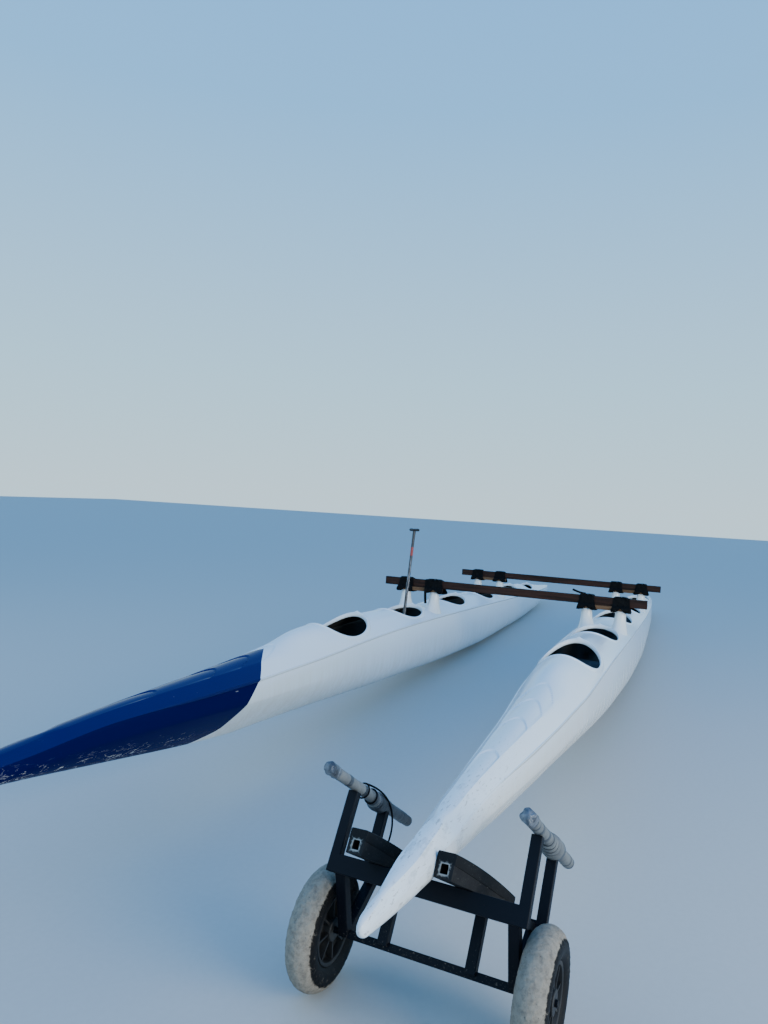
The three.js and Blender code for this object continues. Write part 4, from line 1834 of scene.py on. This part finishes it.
LEFT_RAIL = Rail(
    "left",
    0.360,
    0.415,
    (
        Wrap(0.352, 0.0250, Cover.SILVER),
        Wrap(0.332, 0.0240, Cover.GREY),
        Wrap(0.298, 0.0236, Cover.PALE),
        Wrap(0.284, 0.0240, Cover.GREY),
        Wrap(0.235, 0.0234, Cover.PALE),
        Wrap(0.212, 0.0238, Cover.GREY),
        Wrap(0.120, 0.0240, Cover.PALE),
        Wrap(0.092, 0.0244, Cover.GREY),
        Wrap(0.030, 0.0246, Cover.PALE),
        Wrap(0.024, 0.0262, Cover.DARK, 0.001),
        Wrap(0.006, 0.0310, Cover.PALE, 0.003),
        Wrap(0.001, 0.0315, Cover.DARK, 0.004),
        Wrap(-0.017, 0.0360, Cover.PALE, 0.006),
        Wrap(-0.022, 0.0362, Cover.DARK, 0.007),
        Wrap(-0.042, 0.0405, Cover.PALE, 0.008),
        Wrap(-0.048, 0.0402, Cover.GREY, 0.009),
        Wrap(-0.115, 0.0430, Cover.PALE, 0.009),
        Wrap(-0.160, 0.0405, Cover.GREY, 0.007),
        Wrap(-0.395, 0.0262, Cover.PALE),
        Wrap(-0.406, 0.0272, Cover.DARK),
        Wrap(-0.462, 0.0264, Cover.PALE),
        Wrap(-0.490, 0.0258, Cover.GREY),
    ),
    squared=5.0,
)


@dataclass
class BeachCart:
    """The two-wheeled cart under the port bow."""

    place: Placement
    x: float = 5.125
    y: float = 0.952
    yaw: float = math.radians(-2.9)
    pitch: float = math.radians(31.8)
    tube: float = 0.040
    axle_half: float = 0.350
    axle_size: float = 0.030
    stub: float = 0.012
    stub_end: float = 0.478
    deck_half: float = 0.380
    deck_z: float = 0.213
    bars: tuple[Pair, ...] = ((0.200, 0.066), (-0.131, 0.040))
    struts: float = 0.330
    leg_x: float = 0.015
    legs: Pair = (-0.167, 0.173)
    rail_z: float = 0.497
    rail_radius: float = 0.025
    rail_step: float = 0.0022
    rail_round: float = 0.007
    groove: Pair = (0.0011, 0.0018)
    crumple: float = 0.0007
    crumple_taped: float = 0.0034
    snug: float = 0.99
    wheel_radius: float = 0.2306
    tyre_radius: float = 0.062
    tyre_bare: float = 0.0030
    sand_thick: float = 0.0026
    track: float = 0.421
    clumps: tuple[Pair, ...] = ((0.6, 1.6), (0.7, 5.3), (0.5, 11.0))
    rim_radius: float = 0.128
    rim_half: tuple[Pair, ...] = (
        (0.0124, -0.046),
        (0.040, -0.046),
        (0.042, -0.044),
        (0.044, -0.016),
        (0.060, -0.012),
        (0.100, -0.012),
        (0.110, -0.018),
        (0.115, -0.044),
        (0.118, -0.046),
        (0.1275, -0.046),
    )
    ribs: int = 8
    rib_ends: Pair = (0.038, 0.117)
    bunk_fore: float = 0.370
    bunk_splay: float = math.radians(13.5)
    bunks: tuple[tuple[str, float], ...] = (("right", -0.223), ("left", 0.1094))
    bunk_size: BunkSize = BunkSize()
    knot_reach: float = 0.0290
    knot_radius: float = 0.0032
    knots: tuple[Pair, ...] = ((0.026, -0.001), (0.116, 0.0))
    elastic_radius: float = 0.004
    elastic: tuple[Point, ...] = (
        (0.112, -0.366, 0.5265),
        (0.078, -0.358, 0.529),
        (0.040, -0.350, 0.530),
        (0.000, -0.343, 0.528),
        (-0.040, -0.337, 0.522),
        (-0.080, -0.333, 0.512),
        (-0.115, -0.331, 0.498),
        (-0.146, -0.330, 0.480),
        (-0.171, -0.330, 0.458),
        (-0.189, -0.330, 0.434),
        (-0.198, -0.330, 0.408),
        (-0.198, -0.330, 0.381),
        (-0.193, -0.330, 0.354),
        (-0.184, -0.330, 0.327),
        (-0.174, -0.330, 0.300),
        (-0.163, -0.330, 0.276),
        (-0.152, -0.330, 0.256),
        (-0.143, -0.330, 0.235),
    )

    def base(self) -> Matrix:
        """The cart's frame before it is tipped, on its wheels."""
        shift = Matrix.Translation((self.x + self.place.x, self.y + self.place.y, self.wheel_radius))
        return shift @ Matrix.Rotation(self.yaw, 4, "Z")

    def tipped(self) -> Matrix:
        """The frame of the tubes, rails and bunks."""
        return self.base() @ Matrix.Rotation(-self.pitch, 4, "Y")

    def cord(self, rubber: Material) -> None:
        """Hangs the elastic cord from the right rail to the rear crossbar.

        Args:
            rubber: the cord's cover.
        """
        line = spline_points(np.array(self.elastic), 6)
        path = moved(line, self.tipped())
        data = bpy.data.curves.new("cart_elastic", "CURVE")
        data.dimensions = "3D"
        spline = data.splines.new("POLY")
        spline.points.add(len(path) - 1)
        for point, where in zip(spline.points, path):
            point.co = (*where, 1.0)
        data.bevel_depth = self.elastic_radius
        data.bevel_resolution = 4
        data.use_fill_caps = True
        data.materials.append(rubber)
        made = in_scene("cart_elastic", data)
        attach(made, "root")
        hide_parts("cart_cord")
        2 * self.elastic_radius

    def strut(self, form: Form, x: float, y: float) -> None:
        """Adds one square bar that slants from the axle up to a crossbar.

        Args:
            form: what the bar is added to.
            x: the crossbar's place.
            y: the bar's place across.
        """
        t = self.tube / 2
        lean = math.atan2(x, self.deck_z)
        along = np.array((math.sin(lean), 0.0, math.cos(lean)))
        square = np.array((math.cos(lean), 0.0, -math.sin(lean)))
        side = np.array((0.0, 1.0, 0.0))
        foot = np.array((0.0, y, 0.0))
        rings = []
        for reach in (0.0, math.hypot(x, self.deck_z) - t / 2):
            corners = [(-t, -t), (t, -t), (t, t), (-t, t)]
            rings.append([foot + along * reach + square * a + side * b for a, b in corners])
        form.loft(rings)

    def frame(self, paint: Material) -> None:
        """Builds the welded tube frame.

        Args:
            paint: the frame's enamel.
        """
        t = self.tube / 2
        a = self.axle_size / 2
        form = Form()
        form.block((-a, -self.axle_half, -a), (a, self.axle_half, a))
        for sign in (-1, 1):
            form.loft([hoop(self.stub, sign * y) for y in (self.stub_end, self.axle_half - 0.002)])
        for x, high in self.bars:
            low, top = self.deck_z - high / 2, self.deck_z + high / 2
            form.block((x - t, -self.deck_half, low), (x + t, self.deck_half, top))
            for sign in (-1, 1):
                y = sign * (self.deck_half - t)
                head = self.rail_z - self.rail_radius + 0.003
                q = t * self.snug
                form.block((x - q, y - q, low + 0.002), (x + q, y + q, head))
                self.strut(form, x, sign * self.struts)
        for y in (-self.struts, *self.legs, self.struts):
            aft, fore = self.bars[1][0], self.bars[0][0]
            form.block((aft, y - t / 2, self.deck_z - t * 0.98), (fore, y + t / 2, self.deck_z + t / 2))
        for y in self.legs:
            form.block((self.leg_x - t, y - t, 0.0), (self.leg_x + t, y + t, self.deck_z))
        made = form.piece("cart_tube_frame", self.tipped(), (paint,), 30.0)
        dress(made, ["cart_frame"], bevel=0.003)

    def rail(self, rail: Rail, covers: Sequence[Material]) -> None:
        """Builds one rail: its sleeve, tape wraps, rolled ring and crumpled taped end.

        Args:
            rail: the rail's places and wraps.
            covers: the wraps' materials, in the order of Cover.
        """
        xs = np.arange(rail.aft, rail.fore, self.rail_step)
        edges = np.array([w.aft for w in rail.wraps])
        which = np.array([int(np.argmax(x >= edges - 1e-9)) for x in xs])
        radius = np.array([rail.wraps[i].radius for i in which])
        drop = np.array([rail.wraps[i].drop for i in which])
        fores = np.array([rail.fore, *edges[:-1]])
        near = np.minimum(xs - edges[which], fores[which] - xs)
        deep, reach = self.groove
        radius = radius - deep * np.exp(-near / reach)
        drop = np.convolve(np.pad(drop, 3, "edge"), np.ones(7) / 7, "valid")
        end = np.minimum(xs - rail.aft, rail.fore - xs)
        radius = radius * np.sqrt(np.clip(end / self.rail_round, 0.30, 1.0))
        turn = around(32)
        rings = []
        for x, r, d, i in zip(xs, radius, drop, which):
            crumple = self.crumple_taped if rail.wraps[i].cover is Cover.SILVER else self.crumple
            share = float(smooth_step(x, rail.fore - 0.09, rail.fore - 0.02))
            power = 2.0 + (rail.squared - 2.0) * share
            ring = []
            for k in turn:
                c, s = math.cos(k + 0.5), math.sin(k + 0.5)
                corner = (abs(c) ** power + abs(s) ** power) ** (-1 / power)
                seed = Vector((x * 46, c * 1.7, s * 1.7 + rail.y * 9))
                rough = noise.noise(seed) + 0.5 * noise.noise(seed * 2.7) - 0.3
                out = r * min(corner, 1.16) + crumple * rough
                ring.append((x, rail.y + math.cos(k) * out, self.rail_z - d + math.sin(k) * out))
            rings.append(ring)
        form = Form().loft(rings)
        count = len(turn)
        for i in range(len(xs) - 1):
            form.slots[i * count : (i + 1) * count] = [rail.wraps[which[i]].cover.value] * count
        form.slots[-2:] = [rail.wraps[-1].cover.value, Cover.SILVER.value]
        made = form.piece(f"cart_{rail.hand}_rail_sleeve", self.tipped(), covers, 48.0)
        dress(made, [f"cart_{rail.hand}_rail"])

    def loop(self, rubber: Material) -> None:
        """Builds the elastic's own turn round the right rail, where it is made fast.

        Args:
            rubber: the elastic's cover.
        """
        c, s = circle(1.0, 48).T
        form = Form()
        for x, shift in self.knots:
            y = RIGHT_RAIL.y + c * self.knot_reach
            z = self.rail_z + shift + s * self.knot_reach
            path = np.stack([x + 0.006 * c, y, z], axis=1)
            form.sweep(path, circle(self.knot_radius, 10), up=(1.0, 0.0, 0.0), closed=True)
        made = form.piece("cart_elastic_turns", self.tipped(), (rubber,), 60.0)
        dress(made)

    def bunk(self, hand: str, y: float, rubber: Material) -> None:
        """Builds one tapered bunk: a rubber pad over its body, with a hollow square end.

        Args:
            hand: the bunk's name.
            y: its place across.
            rubber: its material.
        """
        b = self.bunk_size
        w, e = b.wide / 2, 0.005
        form = Form()
        rings = []
        for x in np.linspace(-b.long, 0.0, 40):
            back = -x / b.long
            top = b.high - back * back * (b.high - b.low)
            line = top * (b.pad - b.pad_lean * back)
            right = [
                (w - 0.002, 0.0),
                (w - 0.002, line - 0.001),
                (w, line + 0.001),
                (w, top - e),
                (w - 0.3 * e, top - 0.3 * e),
                (w - e, top),
            ]
            rings.append([(x, *corner) for corner in mirrored(right)])
        faces = grid_faces(len(rings), len(rings[0]), close_columns=True).tolist()
        faces.append(list(range(len(rings[0])))[::-1])
        form.add(rings, faces)
        self.hollow_end(form, rings[-1])
        base = self.deck_z + self.bars[0][1] / 2 + 0.0003
        turn = Matrix.Translation((self.bunk_fore, y, base)) @ Matrix.Rotation(-self.bunk_splay, 4, "Z")
        made = form.piece(f"cart_{hand}_bunk_rubber", self.tipped() @ turn, (rubber,), 28.0)
        dress(made, [f"cart_{hand}_bunk"])

    def hollow_end(self, form: Form, outer: Sequence[Point]) -> None:
        """Closes a bunk's front with a frame round a square hole that runs back into it.

        Args:
            form: the bunk.
            outer: the points of its front ring.
        """
        b = self.bunk_size
        n, middle = len(outer), b.hole_middle
        hole = []
        for _, y, z in outer:
            reach = max(abs(y) / b.hole_half, abs(z - middle) / (b.hole_high - middle), 1e-6)
            hole.append((0.0, y / reach, middle + (z - middle) / reach))
        back = [(-b.hole_deep, y, z) for _, y, z in hole]
        faces = grid_faces(3, n, close_columns=True).tolist()
        form.add([*outer, *hole, *back], [*faces, list(range(2 * n, 3 * n))])

    def wheel(self, hand: str, sign: int, finishes: Finishes) -> None:
        """Builds one balloon tyre, rough with sand, and its wheel.

        Args:
            hand: the wheel's name.
            sign: the wheel's side, -1 or 1.
            finishes: every material.
        """
        body = f"cart_{hand}_wheel"
        matrix = self.base() @ Matrix.Translation((0.0, sign * self.track, 0.0))
        steps, section = 320, 84
        middle = self.wheel_radius - self.tyre_radius
        rings = []
        for a in around(steps):
            ring = []
            for b in around(section):
                seed = Vector((math.cos(a) * 9, math.sin(a) * 9, b * 2.4 + sign * 9))
                clump = sum(share * noise.noise(seed * scale) for share, scale in self.clumps)
                sandy = float(smooth_step(math.cos(b), 0.0, 0.35))
                r = self.tyre_radius - self.tyre_bare + sandy * self.sand_thick * max(min(clump, 1.0), -1.0)
                out = min(middle + math.cos(b) * r, self.wheel_radius - 0.0003)
                out = max(out, self.rim_radius + 0.0004)
                ring.append((math.cos(a) * out, math.sin(b) * r, math.sin(a) * out))
            rings.append(ring)
        form = Form().add(rings, grid_faces(steps, section, True, True))
        made = form.piece(f"cart_{hand}_balloon_tyre", matrix, (finishes.tyre,), 80.0)
        dress(made, [f"cart_{hand}_tyre"], body)
        self.rim(hand, matrix, body, finishes.rim)

    def rim(self, hand: str, matrix: Matrix, body: str, plastic: Material) -> None:
        """Builds a wheel's moulded centre with its ribs.

        Args:
            hand: the wheel's name.
            matrix: the wheel's frame.
            body: the body that it rides on.
            plastic: its material.
        """
        outline = [*self.rim_half, *((r, -y) for r, y in self.rim_half[::-1])]
        turn = around(72)
        rings = [[(math.cos(a) * r, y, math.sin(a) * r) for r, y in outline] for a in turn]
        form = Form().add(rings, grid_faces(len(turn), len(outline), True, True))
        for a in around(self.ribs):
            c, s = math.cos(a), math.sin(a)
            for low, high in ((0.010, 0.040), (-0.040, -0.010)):
                corners = ((-0.004, low), (0.004, low), (0.004, high), (-0.004, high))
                form.loft([[(c * r - s * k, y, s * r + c * k) for k, y in corners] for r in self.rib_ends])
        made = form.piece(f"cart_{hand}_wheel_centre", matrix, (plastic,), 35.0)
        dress(made, [f"cart_{hand}_rim"], body)

    def build(self, finishes: Finishes) -> None:
        """Builds the whole cart but its cord.

        Args:
            finishes: every material.
        """
        self.frame(finishes.cart)
        covers = (finishes.foam, finishes.tape, finishes.silver, finishes.dark_tape)
        for rail in (RIGHT_RAIL, LEFT_RAIL):
            self.rail(rail, covers)
        self.loop(finishes.strip)
        for hand, y in self.bunks:
            self.bunk(hand, y, finishes.bunk)
        for hand, sign in (("right", -1), ("left", 1)):
            self.wheel(hand, sign, finishes)


# Finishes, stage and main


@dataclass
class Finishes:
    """Every material, made once."""

    starboard: Material
    navy: Material
    port: Material
    post: Material
    lining: Material
    seat: Material
    beam: Material
    board: Material
    strip: Material
    shaft: Material
    blade: Material
    cart: Material
    foam: Material
    tape: Material
    silver: Material
    dark_tape: Material
    bunk: Material
    tyre: Material
    rim: Material

    @classmethod
    def make(cls) -> Finishes:
        """Builds all the materials.

        Returns:
            The finishes.
        """
        deck = Gelcoat("starboard_gelcoat", Scheme.BLUE_BOW, dirt=0.30, ior=1.18)
        # The same paint with its blue darkened for the shell below the seam: painted shade, not a second
        # paint.
        shell = replace(deck, name="starboard_shell_gelcoat", blue=(0.0004, 0.0014, 0.050), ior=1.09)
        beam = Timber("beam_timber", (0.012, 0.0052, 0.0034), (0.042, 0.016, 0.0095), (0.095, 0.046, 0.030))
        board = Timber("packer_board", (0.085, 0.042, 0.020), (0.165, 0.090, 0.045), (0.27, 0.17, 0.095), 0.6)
        return cls(
            starboard=deck.material(),
            navy=shell.material(),
            port=Gelcoat("port_gelcoat", dirt=0.80).material(),
            post=Gelcoat("post_gelcoat", white=(0.78, 0.79, 0.77), dirt=0.25).material(),
            lining=Lining().material(),
            seat=Moulding("seat_plastic", (0.045, 0.046, 0.050), (0.10, 0.10, 0.10)).material(),
            beam=beam.material(),
            board=board.material(),
            strip=Rubber("lashing_rubber").material(),
            shaft=Shaft().material(),
            blade=Moulding("paddle_black", (0.010, 0.010, 0.012), (0.03, 0.03, 0.034), 0.3).material(),
            cart=CartPaint().material(),
            foam=Foam().material(),
            tape=Tape("grey_tape", (0.030, 0.038, 0.048), (0.058, 0.070, 0.084)).material(),
            silver=Tape("taped_end", (0.060, 0.068, 0.082), (0.25, 0.27, 0.30), 0.22, 0.5, 1.5).material(),
            dark_tape=Tape("dark_tape", (0.012, 0.016, 0.022), (0.028, 0.035, 0.045)).material(),
            bunk=BunkRubber().material(),
            tyre=SandedTyre().material(),
            rim=Moulding("rim_plastic", (0.0035, 0.0035, 0.0040), (0.040, 0.036, 0.030), 0.5).material(),
        )


@dataclass
class Studio:
    """Camera, floor and soft light."""

    place: Placement
    eye: Point = (7.785, 1.768, 1.424)
    yaw: float = -0.3919
    pitch: float = -0.0181
    roll: float = 0.0692
    focal: float = 760.34
    frame_high: float = 1024.0
    floor_half: float = 60.0
    sky_strength: float = 1.3
    sky: tuple[tuple[float, Colour], ...] = (
        (0.0, (0.60, 0.80, 0.92)),
        (0.15, (0.46, 0.76, 0.98)),
        (0.45, (0.22, 0.56, 1.0)),
        (1.0, (0.10, 0.38, 1.0)),
    )
    aim: Point = (2.0, 0.0, 0.3)
    lamps: tuple[tuple[str, Point, float, float, Colour], ...] = (
        # name, place, watts, size, tint
        ("key", (8.0, 9.5, 3.2), 1000.0, 6.0, (1.0, 0.96, 0.88)),
        ("fill", (9.0, -7.0, 5.0), 200.0, 8.0, (0.88, 0.96, 1.0)),
    )

    def camera(self) -> None:
        """Sets the camera where the photograph was taken from."""
        level = math.cos(self.pitch)
        ahead = Vector((-math.cos(self.yaw) * level, math.sin(self.yaw) * level, -math.sin(self.pitch)))
        right = ahead.cross(Vector((0, 0, 1))).normalized()
        above = right.cross(ahead)
        c, s = math.cos(self.roll), math.sin(self.roll)
        axes = (c * right + s * above, -s * right + c * above, -ahead)
        pose = Matrix([[a[i] for a in axes] + [self.eye[i]] for i in range(3)] + [[0, 0, 0, 1]])
        data = bpy.data.cameras.new("camera")
        data.sensor_fit = "AUTO"
        data.sensor_width = 36.0
        data.lens = self.focal * data.sensor_width / self.frame_high
        data.clip_end = 400.0
        made = in_scene("camera", data)
        made.matrix_world = self.place.matrix() @ pose
        bpy.context.scene.camera = made

    def floor(self) -> None:
        """Lays the plain pale floor."""
        f = Finish("floor")
        grain = f.noise(f.row(), 30.0, 3.0)
        pale = f.finish(base_color=grain.blend((0.50, 0.48, 0.45), (0.54, 0.52, 0.49)), roughness=0.9)
        half = self.floor_half
        corners = [(-half, -half, 0), (half, -half, 0), (half, half, 0), (-half, half, 0)]
        Form().add(corners, [[0, 1, 2, 3]]).piece("floor", Matrix.Identity(4), (pale,))

    def light(self) -> None:
        """Sets a sky that is pale low down and blue above, and two soft lamps."""
        world = bpy.data.worlds.new("sky")
        bpy.context.scene.world = world
        world.use_nodes = True
        tree = world.node_tree
        sky = tree.nodes["Background"]
        sky.inputs["Strength"].default_value = self.sky_strength
        place = tree.nodes.new("ShaderNodeTexCoord")
        apart = tree.nodes.new("ShaderNodeSeparateXYZ")
        ramp = tree.nodes.new("ShaderNodeValToRGB")
        stops = ramp.color_ramp.elements
        while len(stops) < len(self.sky):
            stops.new(0.5)
        for stop, (height, colour) in zip(stops, self.sky):
            stop.position = height
            stop.color = (*colour, 1.0)
        tree.links.new(place.outputs["Generated"], apart.inputs[0])
        tree.links.new(apart.outputs["Z"], ramp.inputs[0])
        tree.links.new(ramp.outputs[0], sky.inputs["Color"])
        for name, where, power, size, tint in self.lamps:
            data = bpy.data.lights.new(name, "AREA")
            data.energy = power
            data.size = size
            data.color = tint
            lamp = in_scene(name, data)
            lamp.location = where
            aim = Vector(self.aim) - Vector(where)
            lamp.rotation_euler = aim.to_track_quat("-Z", "Y").to_euler()

    def build(self) -> None:
        """Sets up camera, floor and lights."""
        self.camera()
        self.floor()
        self.light()


def main() -> None:
    """Builds the dressed canoe around its frame."""
    logging.basicConfig(level=logging.INFO, format="%(message)s")
    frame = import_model()
    place = Placement.from_frame(frame)
    Studio(place).build()
    finishes = Finishes.make()
    cart = BeachCart(place)
    cart.cord(finishes.strip)
    for side in Side:
        hang = STARBOARD_DROOP if side is Side.STARBOARD else Droop()
        Hull(side, place, HullForm(hang=hang)).build(finishes)
    CrossBeams(place).build(finishes)
    Paddle(place).build(finishes)
    cart.build(finishes)


if __name__ == "__main__":
    main()
